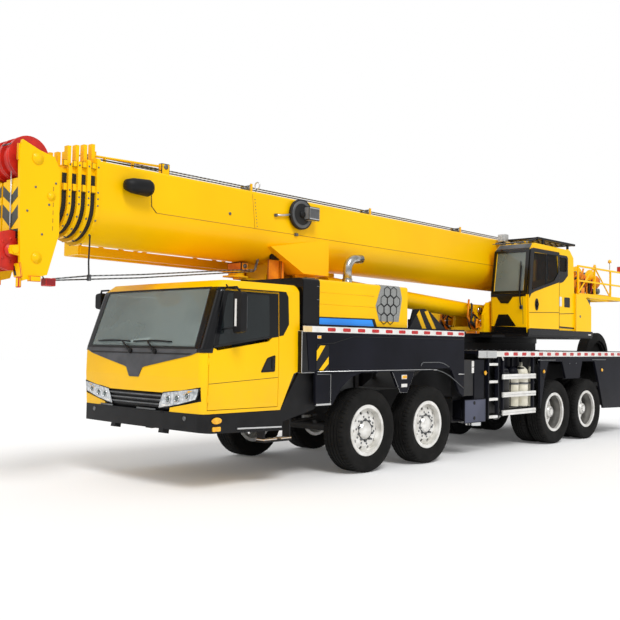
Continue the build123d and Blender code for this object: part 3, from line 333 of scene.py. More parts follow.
def make_chromed_rod():
    """Hard-chromed, ground cylinder rod."""
    material, tree, output, place = start_material("chromed_rod")
    stretched = add_node(
        tree, "ShaderNodeMapping", {"Vector": place, "Scale": (4.0, 90.0, 90.0)}
    ).outputs["Vector"]
    color = tone(tree, stretched, "#C4C6C8", "#DADCDD", 3.0)
    surface(tree, output, color, None, Metallic=1.0, Roughness=0.14)
    return material


def make_aluminium():
    """Mill-finish extruded aluminium, faintly streaked along its length."""
    material, tree, output, place = start_material("extruded_aluminium")
    stretched = add_node(
        tree, "ShaderNodeMapping", {"Vector": place, "Scale": (3.0, 120.0, 120.0)}
    ).outputs["Vector"]
    color = tone(tree, stretched, "#BFC0C0", "#DBDCDC", 2.0)
    surface(tree, output, color, grain(tree, stretched, 5.0, 0.1, 0.001), Metallic=0.75,
            Roughness=0.38)
    return material


def make_steel_grey():
    """Grey-primed steel fittings."""
    material, tree, output, place = start_material("primed_steel")
    color = tone(tree, place, "#5A5C5E", "#737577", 4.0)
    surface(tree, output, color, grain(tree, place, 90.0, 0.1, 0.002), Metallic=0.5,
            Roughness=0.45)
    return material


def make_exhaust_steel():
    """Polished stainless exhaust tube."""
    material, tree, output, place = start_material("stainless_tube")
    color = tone(tree, place, "#A9A7A2", "#CFCFCD", 9.0)
    surface(tree, output, color, grain(tree, place, 140.0, 0.08, 0.001), Metallic=1.0,
            Roughness=0.26)
    return material


def make_sheave_red():
    """Cast nylon rope sheave in signal red, its tone drifting between two reds."""
    material, tree, output, place = start_material("red_nylon")
    color = tone(tree, place, "#B01A0E", "#D8291A", 6.0)
    surface(tree, output, color, grain(tree, place, 90.0, 0.08, 0.002), Roughness=0.4)
    return material


def make_wire_rope():
    """Greased galvanised wire rope, its strands drawn coarse enough to read."""
    material, tree, output, place = start_material("wire_rope")
    wave = add_node(
        tree,
        "ShaderNodeTexWave",
        {"Vector": place, "Scale": 9.0, "Distortion": 0.4},
        bands_direction="DIAGONAL",
    )
    ramp = add_node(tree, "ShaderNodeValToRGB", {"Fac": wave.outputs["Fac"]})
    ramp.color_ramp.elements[0].color = linear("#3A3B3C")
    ramp.color_ramp.elements[1].color = linear("#85888A")
    bump = add_node(
        tree, "ShaderNodeBump", {"Height": wave.outputs["Fac"], "Strength": 0.6, "Distance": 0.003}
    )
    surface(tree, output, ramp.outputs["Color"], bump.outputs["Normal"], Metallic=0.7,
            Roughness=0.42)
    return material


def make_white_band():
    """White enamel edging."""
    material, tree, output, place = start_material("white_enamel")
    surface(tree, output, tone(tree, place, "#D9D7D2", "#EDECE9", 5.0), None, Roughness=0.4)
    return material


def make_blue_film():
    """Gloss blue vinyl film."""
    material, tree, output, place = start_material("blue_vinyl")
    surface(tree, output, tone(tree, place, "#1787EE", "#1F97FF", 1.5), None, Roughness=0.28,
            Coat_Weight=0.2)
    return material


def make_amber_lens():
    """Moulded amber acrylic lens."""
    material, tree, output, place = start_material("amber_acrylic")
    surface(tree, output, tone(tree, place, "#E39A00", "#FFC21C", 20.0), None, Roughness=0.18,
            Coat_Weight=0.4)
    return material


def make_red_lens():
    """Moulded red acrylic lens."""
    material, tree, output, place = start_material("red_acrylic")
    surface(tree, output, tone(tree, place, "#A80F12", "#D01A1C", 20.0), None, Roughness=0.18,
            Coat_Weight=0.4)
    return material


def make_clear_lens():
    """Clear polycarbonate over a bright reflector."""
    material, tree, output, place = start_material("lamp_polycarbonate")
    cells = add_node(tree, "ShaderNodeTexVoronoi", {"Vector": place, "Scale": 26.0})
    ramp = add_node(tree, "ShaderNodeValToRGB", {"Fac": cells.outputs["Distance"]})
    ramp.color_ramp.elements[0].color = linear("#E9EDF0")
    ramp.color_ramp.elements[1].color = linear("#8C9399")
    surface(tree, output, ramp.outputs["Color"], None, Metallic=0.3, Roughness=0.12,
            Coat_Weight=0.8, Coat_Roughness=0.02)
    return material


def make_cab_trim_grey():
    """Moulded grey cab lining."""
    material, tree, output, place = start_material("cab_lining")
    surface(tree, output, tone(tree, place, "#3A3B3E", "#4B4C50", 4.0),
            grain(tree, place, 220.0, 0.2, 0.001), Roughness=0.62)
    return material


def make_hose_rubber():
    """Oil-proof hydraulic hose."""
    material, tree, output, place = start_material("hydraulic_hose")
    surface(tree, output, tone(tree, place, "#131313", "#222120", 12.0), None, Roughness=0.5)
    return material


def make_beige_reflector():
    """Pale amber reflector of moulded acrylic."""
    material, tree, output, place = start_material("pale_reflector")
    surface(tree, output, tone(tree, place, "#E3C58A", "#EBD5A5", 9.0), None, Roughness=0.25)
    return material


def make_cream_bottle():
    """Cream enamel on pressed steel bottles, sprayed, slightly dusty."""
    material, tree, output, place = start_material("cream_enamel")
    color = tone(tree, place, "#D8D3BE", "#ECE8D8", 3.0)
    surface(tree, output, color, grain(tree, place, 80.0, 0.05, 0.002), Roughness=0.38)
    return material


def make_slate_enamel():
    """Satin slate-blue enamel of the outriggers' end plates."""
    material, tree, output, place = start_material("slate_enamel")
    color = tone(tree, place, "#3B3F52", "#474B60", 2.5)
    surface(tree, output, color, grain(tree, place, 60.0, 0.06, 0.003), Roughness=0.45)
    return material


def make_mesh_grey():
    """Grey-painted expanded metal behind the engine's side openings."""
    material, tree, output, place = start_material("painted_expanded_metal")
    cells = add_node(tree, "ShaderNodeTexVoronoi", {"Vector": place, "Scale": 70.0})
    ramp = add_node(tree, "ShaderNodeValToRGB", {"Fac": cells.outputs["Distance"]})
    ramp.color_ramp.elements[0].color = linear("#7F817F")
    ramp.color_ramp.elements[1].color = linear("#A4A6A4")
    surface(tree, output, ramp.outputs["Color"], None, Metallic=0.3, Roughness=0.5)
    return material


def make_weld_shadow():
    """Ground weld seam under enamel, drawn darker than the enamel round it: painted shade along
    seams and folds.
    """
    material, tree, output, place = start_material("weld_seam_painted_shade")
    surface(tree, output, tone(tree, place, "#A87A06", "#C08F0B", 8.0), None, Roughness=0.5)
    return material


def make_chevron_grey():
    """Dark grey vinyl of the warning chevrons."""
    material, tree, output, place = start_material("dark_grey_vinyl")
    surface(tree, output, tone(tree, place, "#3A3A36", "#484842", 6.0), None, Roughness=0.5)
    return material


def make_dark_red():
    """Dark red enamel on the rope's cast socket."""
    material, tree, output, place = start_material("dark_red_enamel")
    surface(tree, output, tone(tree, place, "#7A0F16", "#96151E", 8.0), None, Roughness=0.45)
    return material


def make_orange():
    """Orange-yellow machine enamel of the hoists and valves, with oily dust."""
    material, tree, output, place = start_material("orange_enamel")
    color = tone(tree, place, "#D9730A", "#F59A12", 6.0)
    surface(tree, output, color, grain(tree, place, 60.0, 0.06, 0.003), Roughness=0.42,
            Specular_IOR_Level=0.25)
    return material


def make_dish_grey():
    """Dark grey over the twin wheels' dishes and barrel walls: painted shade of their hollows."""
    material, tree, output, place = start_material("wheel_enamel_painted_shade")
    color = tone(tree, place, "#4E4D49", "#6E6C67", 6.0)
    surface(tree, output, color, grain(tree, place, 120.0, 0.08, 0.002), Metallic=0.2,
            Roughness=0.6)
    return material


MAKERS = {
    "dish_shade": make_dish_grey,
    "orange": make_orange,
    "dark_red": make_dark_red,
    "weld": make_weld_shadow,
    "mesh_dark": make_chevron_grey,
    "door_glass": make_door_glass,
    "screen_glass": make_screen_glass,
    "two_tone_base": make_two_tone_base,
    "two_tone_cab": make_two_tone_cab,
    "beige": make_beige_reflector,
    "cream": make_cream_bottle,
    "slate": make_slate_enamel,
    "mesh_grey": make_mesh_grey,
    "yellow": make_yellow_enamel,
    "navy": make_navy_enamel,
    "chassis": make_chassis_black,
    "tyre": make_tyre_rubber,
    "wheel": make_wheel_silver,
    "plastic": make_black_plastic,
    "gloss": make_gloss_black,
    "glass": make_cab_glass,
    "dark_glass": make_dark_glass,
    "mirror": make_mirror_glass,
    "seal": make_rubber_seal,
    "chrome": make_chromed_rod,
    "aluminium": make_aluminium,
    "steel": make_steel_grey,
    "exhaust": make_exhaust_steel,
    "red": make_sheave_red,
    "rope": make_wire_rope,
    "white": make_white_band,
    "blue": make_blue_film,
    "amber": make_amber_lens,
    "red_lens": make_red_lens,
    "lens": make_clear_lens,
    "lining": make_cab_trim_grey,
    "hose": make_hose_rubber,
}

# ---- Mesh helpers -------------------------------------------------------------------------------
class Form:
    """Collects closed shapes into one mesh, each with its finish."""

    def __init__(self, name):
        self.name = name
        self.mesh = bmesh.new()
        self.finishes = []

    def finish_index(self, name):
        """The slot of a finish, added when it is new."""
        if name not in self.finishes:
            self.finishes.append(name)
        return self.finishes.index(name)

    def close(self, verts, faces, finish_name, smooth=False):
        """Adds vertices and faces given by index."""
        slot = self.finish_index(finish_name)
        made = [self.mesh.verts.new(v) for v in verts]
        out = []
        for face in faces:
            try:
                one = self.mesh.faces.new([made[i] for i in face])
            except ValueError:
                continue
            one.material_index = slot
            one.smooth = smooth
            out.append(one)
        return made, out

    def soften(self, faces, width, segments=2):
        """Rounds the sharp edges of some new faces."""
        edges = {e for f in faces for e in f.edges if e.is_manifold and e.calc_face_angle() > 0.5}
        if edges and width > 0:
            bmesh.ops.bevel(
                self.mesh,
                geom=list(edges),
                offset=width,
                segments=segments,
                profile=0.5,
                affect="EDGES",
                clamp_overlap=True,
            )

    def prism(self, outline, low, high, axis, finish_name, soft=0.0, segments=2):
        """An outline pushed along an axis; its pairs follow the other two axes in order."""
        others = [a for a in range(3) if a != axis]
        count = len(outline)
        verts = []
        for level in (low, high):
            for pair in outline:
                point = [0.0, 0.0, 0.0]
                point[axis] = level
                point[others[0]] = pair[0]
                point[others[1]] = pair[1]
                verts.append(point)
        faces = [list(range(count))[::-1], list(range(count, 2 * count))]
        faces += [[i, (i + 1) % count, count + (i + 1) % count, count + i] for i in range(count)]
        _, new = self.close(verts, faces, finish_name)
        bmesh.ops.recalc_face_normals(self.mesh, faces=new)
        self.soften(new, soft, segments)

    def box(self, low, high, finish_name, soft=0.0, segments=2):
        """A box between two corners, with rounded edges."""
        x0, y0, z0 = [min(a, b) for a, b in zip(low, high)]
        x1, y1, z1 = [max(a, b) for a, b in zip(low, high)]
        self.prism([(x0, y0), (x1, y0), (x1, y1), (x0, y1)], z0, z1, 2, finish_name, soft, segments)

    def tube(self, points, radius, finish_name, sides=12, closed=False, radii=None):
        """A round tube through points, mitred at each."""
        points = [Vector(p) for p in points]
        count = len(points)
        up = Vector((0, 0, 1))
        first = (points[1] - points[0]).normalized()
        if abs(first.dot(up)) > 0.9:
            up = Vector((1, 0, 0))
        side = first.cross(up).normalized()
        rings = []
        last = first
        for i, point in enumerate(points):
            if closed:
                ahead = (points[(i + 1) % count] - point).normalized()
                behind = (point - points[i - 1]).normalized()
            else:
                ahead = (points[min(i + 1, count - 1)] - point).normalized()
                behind = (point - points[i - 1]).normalized()
                ahead = ahead if i < count - 1 else behind
                behind = behind if i else ahead
            along = (ahead + behind).normalized()
            turn = last.rotation_difference(along)
            side = (turn @ side).normalized()
            last = along
            over = along.cross(side).normalized()
            wide = radii[i] if radii else radius
            stretch = 1.0 / max(0.5, along.dot(ahead))
            ring = []
            bend = (ahead - behind)
            for k in range(sides):
                angle = 2 * math.pi * k / sides
                out = side * math.cos(angle) + over * math.sin(angle)
                if bend.length > 1e-5:
                    across = bend.normalized()
                    out = out + across * out.dot(across) * (stretch - 1.0)
                ring.append(point + out * wide)
            rings.append(ring)
        verts = [v for ring in rings for v in ring]
        faces = []
        loops = count if closed else count - 1
        for i in range(loops):
            j = (i + 1) % count
            for k in range(sides):
                m = (k + 1) % sides
                faces.append([i * sides + k, i * sides + m, j * sides + m, j * sides + k])
        caps = []
        if not closed:
            caps = [list(range(sides))[::-1], [(count - 1) * sides + k for k in range(sides)]]
        _, new = self.close(verts, faces + caps, finish_name, smooth=True)
        for face in new[len(faces) :]:
            face.smooth = False
        bmesh.ops.recalc_face_normals(self.mesh, faces=new)

    def lathe(self, profile, centre, axis, finish_name, sides=32, smooth=True):
        """A profile of (along, radius) pairs turned about an axis through a point.

        One that ends where it began makes a hollow ring."""
        others = [a for a in range(3) if a != axis]
        verts = []
        rings = []
        for along, radius in profile:
            ring = []
            steps = 1 if radius < 1e-6 else sides
            for k in range(steps):
                angle = 2 * math.pi * k / sides
                point = list(centre)
                point[axis] += along
                point[others[0]] += radius * math.cos(angle)
                point[others[1]] += radius * math.sin(angle)
                ring.append(len(verts))
                verts.append(point)
            rings.append(ring)
        hollow = profile[0] == profile[-1]
        if hollow:
            rings[-1] = rings[0]
        faces = []
        for a, b in zip(rings, rings[1:]):
            for k in range(sides):
                m = (k + 1) % sides
                corner = [a[k % len(a)], a[m % len(a)], b[m % len(b)], b[k % len(b)]]
                face = [v for i, v in enumerate(corner) if v not in corner[:i]]
                if len(face) > 2:
                    faces.append(face)
        for ring, turn in ((rings[0], True), (rings[-1], False)):
            if len(ring) > 1 and not hollow:
                faces.append(ring[::-1] if turn else ring)
        _, new = self.close(verts, faces, finish_name, smooth=smooth)
        bmesh.ops.recalc_face_normals(self.mesh, faces=new)

    def ring_strip(self, outline, inner, low, high, axis, finish_name):
        """A flat frame between two outlines of the same count, pushed along an axis."""
        others = [a for a in range(3) if a != axis]
        count = len(outline)
        verts = []
        for level in (low, high):
            for shape in (outline, inner):
                for pair in shape:
                    point = [0.0, 0.0, 0.0]
                    point[axis] = level
                    point[others[0]] = pair[0]
                    point[others[1]] = pair[1]
                    verts.append(point)
        faces = []
        for i in range(count):
            j = (i + 1) % count
            a, b, c, d = i, j, count + j, count + i
            e = 2 * count
            faces += [[a, b, c, d], [e + d, e + c, e + b, e + a]]
            faces += [[a, e + a, e + b, b], [d, c, e + c, e + d]]
        _, new = self.close(verts, faces, finish_name)
        bmesh.ops.recalc_face_normals(self.mesh, faces=new)

    def done(self, body, replaces=()):
        """Closes the mesh and rides it on a body."""
        data = bpy.data.meshes.new(self.name)
        self.mesh.to_mesh(data)
        self.mesh.free()
        obj = bpy.data.objects.new(self.name, data)
        bpy.context.scene.collection.objects.link(obj)
        for name in self.finishes:
            data.materials.append(finish(name))
        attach(obj, body)
        if replaces:
            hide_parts(*replaces)
        return obj


def scatter(name, spots, shape, finish_name, body):
    """Copies a small closed shape onto spots with Geometry Nodes, and makes it a plain mesh.

    spots are (point, normal) pairs; shape is a Form whose axis is +Z."""
    source_mesh = bpy.data.meshes.new(name + "_shape")
    shape.mesh.to_mesh(source_mesh)
    shape.mesh.free()
    source = bpy.data.objects.new(name + "_shape", source_mesh)
    bpy.context.scene.collection.objects.link(source)
    cloud = bpy.data.meshes.new(name + "_spots")
    cloud.from_pydata([tuple(p) for p, _ in spots], [], [])
    turns = cloud.attributes.new("turn", "FLOAT_VECTOR", "POINT")
    for i, (_, normal) in enumerate(spots):
        rotation = Vector((0, 0, 1)).rotation_difference(Vector(normal)).to_euler()
        turns.data[i].vector = rotation
    holder = bpy.data.objects.new(name, cloud)
    bpy.context.scene.collection.objects.link(holder)
    group = bpy.data.node_groups.new(name + "_tree", "GeometryNodeTree")
    group.interface.new_socket("Geometry", in_out="INPUT", socket_type="NodeSocketGeometry")
    size = group.interface.new_socket("Size", in_out="INPUT", socket_type="NodeSocketFloat")
    size.default_value = 1.0
    group.interface.new_socket("Geometry", in_out="OUTPUT", socket_type="NodeSocketGeometry")
    group_in = group.nodes.new("NodeGroupInput")
    group_out = group.nodes.new("NodeGroupOutput")
    shape_info = add_node(group, "GeometryNodeObjectInfo", {"Object": source})
    turned = add_node(
        group, "GeometryNodeInputNamedAttribute", {"Name": "turn"}, data_type="FLOAT_VECTOR"
    )
    rotation = add_node(
        group, "FunctionNodeEulerToRotation", {"Euler": turned.outputs["Attribute"]}
    )
    placed = add_node(
        group,
        "GeometryNodeInstanceOnPoints",
        {
            "Points": group_in.outputs["Geometry"],
            "Instance": shape_info.outputs["Geometry"],
            "Rotation": rotation.outputs["Rotation"],
        },
    )
    group.links.new(group_in.outputs["Size"], placed.inputs["Scale"])
    real = add_node(
        group, "GeometryNodeRealizeInstances", {"Geometry": placed.outputs["Instances"]}
    )
    painted = add_node(
        group,
        "GeometryNodeSetMaterial",
        {"Geometry": real.outputs["Geometry"], "Material": finish(finish_name)},
    )
    group.links.new(painted.outputs["Geometry"], group_out.inputs["Geometry"])
    modifier = holder.modifiers.new("copies", "NODES")
    modifier.node_group = group
    modifier[size.identifier] = 1.0
    graph = bpy.context.evaluated_depsgraph_get()
    result = bpy.data.meshes.new_from_object(holder.evaluated_get(graph))
    bpy.data.objects.remove(holder)
    bpy.data.objects.remove(source)
    obj = bpy.data.objects.new(name, result)
    bpy.context.scene.collection.objects.link(obj)
    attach(obj, body)
    return obj


# ---- The object's own settings ------------------------------------------------------------------
def colour_setting(name, code, description):
    """A colour property with a default given as a hex code."""
    return bpy.props.FloatVectorProperty(
        name=name,
        description=description,
        subtype="COLOR",
        size=3,
        min=0.0,
        max=1.0,
        default=linear(code)[:3],
    )


def length_setting(name, metres, description):
    """A length property in metres."""
    return bpy.props.FloatProperty(
        name=name,
        description=description,
        subtype="DISTANCE",
        unit="LENGTH",
        min=0.0005,
        default=metres,
    )


class CraneFinishSettings(bpy.types.PropertyGroup):
    """Colours of the paint."""

    body_colour: colour_setting("Body colour", "#FFC800", "Enamel of cabs, covers and boom")
    body_shade: colour_setting("Body shade", "#F8BE00", "The enamel's darker drift")


class CraneTyreSettings(bpy.types.PropertyGroup):
    """Sizes of the tyre treads."""

    groove_depth: length_setting("Groove depth", 0.014, "Depth of the main tread grooves")
    shoulder_lugs: bpy.props.IntProperty(
        name="Shoulder lugs",
        description="Number of lugs round each shoulder",
        default=56,
        min=12,
        max=120,
    )


class CraneTrimSettings(bpy.types.PropertyGroup):
    """Sizes of the small trim."""

    tape_height: length_setting("Tape height", 0.060, "Height of the marking tape on the decks")
    mesh_cell: length_setting("Mesh cell", 0.034, "Width of one opening in the engine's side mesh")


# ---- Stage --------------------------------------------------------------------------------------
CAMERA_PLACE = (11.7933, 9.1503, 1.8253)
CAMERA_YAW = -2.3824
CAMERA_PITCH = 0.0399
CAMERA_ROLL = 0.0147
CAMERA_LENS = 49.39


def make_studio_floor():
    """Matt white paper floor. Seen directly it is nearly white and still takes the shadow."""
    material, tree, output, _ = start_material("studio_paper")
    paper = add_node(
        tree,
        "ShaderNodeBsdfDiffuse",
        {"Color": linear("#FBFBFB")},
    )
    glow = add_node(tree, "ShaderNodeEmission", {"Color": (1, 1, 1, 1), "Strength": 1.0})
    path = add_node(tree, "ShaderNodeLightPath")
    seen = add_node(
        tree,
        "ShaderNodeMath",
        {0: path.outputs["Is Camera Ray"], 1: path.outputs["Is Glossy Ray"]},
        operation="MAXIMUM",
    )
    through = add_node(
        tree,
        "ShaderNodeMath",
        {0: seen.outputs["Value"], 1: path.outputs["Is Transmission Ray"]},
        operation="MAXIMUM",
    )
    share = add_node(
        tree,
        "ShaderNodeMath",
        {0: through.outputs["Value"], 1: 0.06},
        operation="MULTIPLY",
    )
    mix = add_node(
        tree,
        "ShaderNodeMixShader",
        {"Fac": share.outputs["Value"], 1: paper.outputs["BSDF"], 2: glow.outputs["Emission"]},
    )
    tree.links.new(mix.outputs["Shader"], output.inputs["Surface"])
    return material


def light_world():
    """An even white surround: plain light on the object, pure white where it is seen."""
    world = bpy.data.worlds.new("studio_surround")
    bpy.context.scene.world = world
    world.use_nodes = True
    tree = world.node_tree
    tree.nodes.clear()
    output = tree.nodes.new("ShaderNodeOutputWorld")
    path = add_node(tree, "ShaderNodeLightPath")
    seen = add_node(
        tree,
        "ShaderNodeMath",
        {0: path.outputs["Is Camera Ray"], 1: path.outputs["Is Transmission Ray"]},
        operation="MAXIMUM",
    )
    strength = add_node(
        tree,
        "ShaderNodeMapRange",
        {"Value": seen.outputs["Value"], "To Min": 0.62, "To Max": 1.0},
    )
    surround = add_node(
        tree,
        "ShaderNodeBackground",
        {"Color": (1, 1, 1, 1), "Strength": strength.outputs["Result"]},
    )
    tree.links.new(surround.outputs["Background"], output.inputs["Surface"])


def add_sun(name, strength, azimuth, elevation, spread):
    """A soft sun from a compass direction, in degrees."""
    data = bpy.data.lights.new(name, "SUN")
    data.energy = strength
    data.angle = math.radians(spread)
    obj = bpy.data.objects.new(name, data)
    around, over = math.radians(azimuth), math.radians(elevation)
    towards = Vector(
        (math.cos(around) * math.cos(over), math.sin(around) * math.cos(over), math.sin(over))
    )
    obj.rotation_euler = towards.to_track_quat("Z", "Y").to_euler()
    bpy.context.scene.collection.objects.link(obj)


def place_camera():
    """The camera at the left front corner, a little above a standing eye's height."""
    data = bpy.data.cameras.new("viewpoint")
    data.lens = CAMERA_LENS
    data.sensor_width = 36.0
    data.clip_end = 200.0
    obj = bpy.data.objects.new("viewpoint", data)
    cos_pitch = math.cos(CAMERA_PITCH)
    ahead = Vector(
        (
            math.cos(CAMERA_YAW) * cos_pitch,
            math.sin(CAMERA_YAW) * cos_pitch,
            math.sin(CAMERA_PITCH),
        )
    )
    level = Vector((math.sin(CAMERA_YAW), -math.cos(CAMERA_YAW), 0))
    above = level.cross(ahead)
    right = level * math.cos(CAMERA_ROLL) + above * math.sin(CAMERA_ROLL)
    up = above * math.cos(CAMERA_ROLL) - level * math.sin(CAMERA_ROLL)
    turn = Matrix((right, up, -ahead)).transposed().to_4x4()
    obj.matrix_world = Matrix.Translation(CAMERA_PLACE) @ turn
    bpy.context.scene.collection.objects.link(obj)
    bpy.context.scene.camera = obj


class CRANE_OT_stage(bpy.types.Operator):
    """Lay the white floor, light it and place the camera"""

    bl_idname = "crane.stage"
    bl_label = "Stage"

    def execute(self, context):
        floor_mesh = bpy.data.meshes.new("studio_floor")
        half = 60.0
        floor_mesh.from_pydata(
            [(-half, -half, 0), (half, -half, 0), (half, half, 0), (-half, half, 0)],
            [],
            [(0, 1, 2, 3)],
        )
        floor_mesh.materials.append(make_studio_floor())
        floor = bpy.data.objects.new("studio_floor", floor_mesh)
        context.scene.collection.objects.link(floor)
        light_world()
        add_sun("key_light", 1.75, 62, 48, 22)
        add_sun("fill_light", 0.45, -20, 30, 40)
        place_camera()
        context.scene.view_settings.view_transform = "Standard"
        return {"FINISHED"}


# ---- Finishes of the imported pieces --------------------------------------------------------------
PACKED_FINISHES = {
    "chassis": ("chassis_frame", "front_axles", "rear_axles", "knuckle_"),
    "navy": ("rear_deck", "front_deck", "outrigger_beam_"),
    "steel": ("engine", "counterweight"),
    "yellow": (
        "engine_cover",
        "cab_shell",
        "cab_door_",
        "boom_section_",
        "boom_rest",
        "crane_cab_door",
        "luff_barrel",
        "fly_jib",
        "hook_block",
        "main_winch",
        "auxiliary_winch",
    ),
    "two_tone_base": ("turntable",),
    "two_tone_cab": ("crane_cab_shell",),
    "plastic": ("front_bumper", "mirror_"),
    "lining": ("cab_interior",),
    "tyre": ("tyre_", "spare_wheel"),
    "wheel": ("rim_",),
    "chrome": ("luff_rod", "outrigger_jack_"),
    "red": ("head_sheaves",),
}


class CRANE_OT_packed_finishes(bpy.types.Operator):
    """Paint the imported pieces"""

    bl_idname = "crane.packed_finishes"
    bl_label = "Paint of the packed pieces"

    def execute(self, context):
        painted = set()
        for finish_name, starts in PACKED_FINISHES.items():
            for name, obj in NODES.items():
                fits = any(name == s or (s.endswith("_") and name.startswith(s)) for s in starts)
                if fits and name not in painted:
                    for slot in obj.material_slots:
                        slot.material = finish(finish_name)
                    painted.add(name)
        bare = sorted(set(NODES) - painted)
        if bare:
            raise RuntimeError(f"packed pieces without a finish: {bare}")
        return {"FINISHED"}


# ---- Tyres and wheels ---------------------------------------------------------------------------
TYRE_RADIUS = 0.600
STEERED_Y = 1.185
TWIN_OUTER_Y = 1.215
TWIN_INNER_Y = 0.865
STEERED_WIDTH = 0.370
TWIN_WIDTH = 0.310
STEERED_NUT_RING = 0.152
TWIN_NUT_RING = 0.190
TWIN_DISC_Y = 1.050
TWIN_HUB_Y = 1.280
TWIN_LIP_Y = 1.300
TWIN_BARREL_RADIUS = 0.3165


def wall_profile(width, bead):
    """The outer wall of a tyre from its bead to the shoulder, as (along, radius) pairs."""
    half = width / 2
    start, end = (bead, 0.369), (half - 0.009, 0.574)
    points = [(bead - 0.004, 0.331), (bead, 0.345), start]
    bulge = 2 * half - start[0] * 0.5 - end[0] * 0.5
    for step in range(1, 10):
        t = step / 10
        along = (1 - t) ** 2 * start[0] + 2 * t * (1 - t) * bulge
        along = min(along + t * t * end[0], half)
        radius = start[1] + (end[1] - start[1]) * t
        points.append((along, radius))
    points.append(end)
    ridged = []
    for along, radius in points:
        ridge = 0.003 if abs(radius - 0.3895) < 0.012 or abs(radius - 0.5535) < 0.008 else 0.0
        ridged.append((min(along + ridge, half), radius))
    return ridged


def tread_tyre(form, x, y_middle, width, bead, depth, lugs):
    """One tyre with ringed walls, notched shoulders and grooves round its tread."""
    wall = wall_profile(width, bead)
    tread_half = width / 2 - 0.043
    profile = [(along, radius, 0) for along, radius in wall]
    profile += [(width / 2 - 0.017, 0.586, 1), (tread_half, TYRE_RADIUS - 0.001, 1)]
    grooves = [tread_half * share for share in (0.62, 0.21, -0.21, -0.62)]
    for centre in grooves:
        profile += [
            (centre + 0.008, TYRE_RADIUS, 2 if abs(centre) > tread_half * 0.5 else 0),
            (centre + 0.005, TYRE_RADIUS - depth, 0),
            (centre - 0.005, TYRE_RADIUS - depth, 0),
            (centre - 0.008, TYRE_RADIUS, 2 if abs(centre) > tread_half * 0.5 else 0),
        ]
    profile += [(-tread_half, TYRE_RADIUS - 0.001, 1), (-width / 2 + 0.017, 0.586, 1)]
    profile += [(-along, radius, 0) for along, radius in wall[::-1]]
    sides = lugs * 4
    verts = []
    for k in range(sides):
        angle = 2 * math.pi * (k + 0.5) / sides
        notch = depth if k % 4 == 0 else 0.0
        for along, radius, kind in profile:
            drop = notch if kind == 1 else (notch * 0.35 if kind == 2 else 0.0)
            r = radius - drop
            verts.append((x + r * math.cos(angle), y_middle + along,
                          TYRE_RADIUS + r * math.sin(angle)))
    count = len(profile)
    faces = []
    for k in range(sides):
        m = (k + 1) % sides
        for i in range(count):
            j = (i + 1) % count
            faces.append([k * count + i, m * count + i, m * count + j, k * count + j])
    _, new = form.close(verts, faces, "tyre", smooth=True)
    bmesh.ops.recalc_face_normals(form.mesh, faces=new)
    for face in new:
        middle = face.calc_center_median()
        reach = math.hypot(middle.x - x, middle.z - TYRE_RADIUS)
        if reach > 0.575:
            face.smooth = False


def hexagon_nut(size, height):
    """A wheel nut on its washer, standing on its foot."""
    form = Form("nut")
    washer = [(size * 0.72 * math.cos(a),
               size * 0.72 * math.sin(a)) for a in [math.pi * k / 5 for k in range(10)]]
    form.prism(washer, -0.002, height * 0.22, 2, "wheel")
    flats = [(size * 0.55 * math.cos(a),
              size * 0.55 * math.sin(a)) for a in [math.pi * k / 3 for k in range(6)]]
    form.prism(flats, height * 0.2, height, 2, "wheel")
    return form


def nut_circle(x, y, side, radius, count):
    """Places for nuts round a wheel's middle."""
    spots = []
    for k in range(count):
        angle = 2 * math.pi * (k + 0.5) / count
        point = (x + radius * math.cos(angle), y, TYRE_RADIUS + radius * math.sin(angle))
        spots.append((point, (0, side, 0)))
    return spots


class CRANE_OT_tyres(bpy.types.Operator):
    """Make the twelve tyres with their treads"""

    bl_idname = "crane.tyres"
    bl_label = "Tyres"

    def execute(self, context):
        depth = context.scene.crane_tyres.groove_depth
        lugs = context.scene.crane_tyres.shoulder_lugs
        for number, x in enumerate(AXLES, start=1):
            for side_name, side in SIDES:
                node = f"tyre_{number}_{side_name}"
                form = Form(f"treaded_{node}")
                if number < 3:
                    tread_tyre(form, x, side * STEERED_Y, STEERED_WIDTH, 0.140, depth, lugs)
                else:
                    for y in (TWIN_OUTER_Y, TWIN_INNER_Y):
                        tread_tyre(form, x, side * y, TWIN_WIDTH, 0.115, depth, lugs)
                form.done(f"wheel_{number}_{side_name}", replaces=[node])
        return {"FINISHED"}


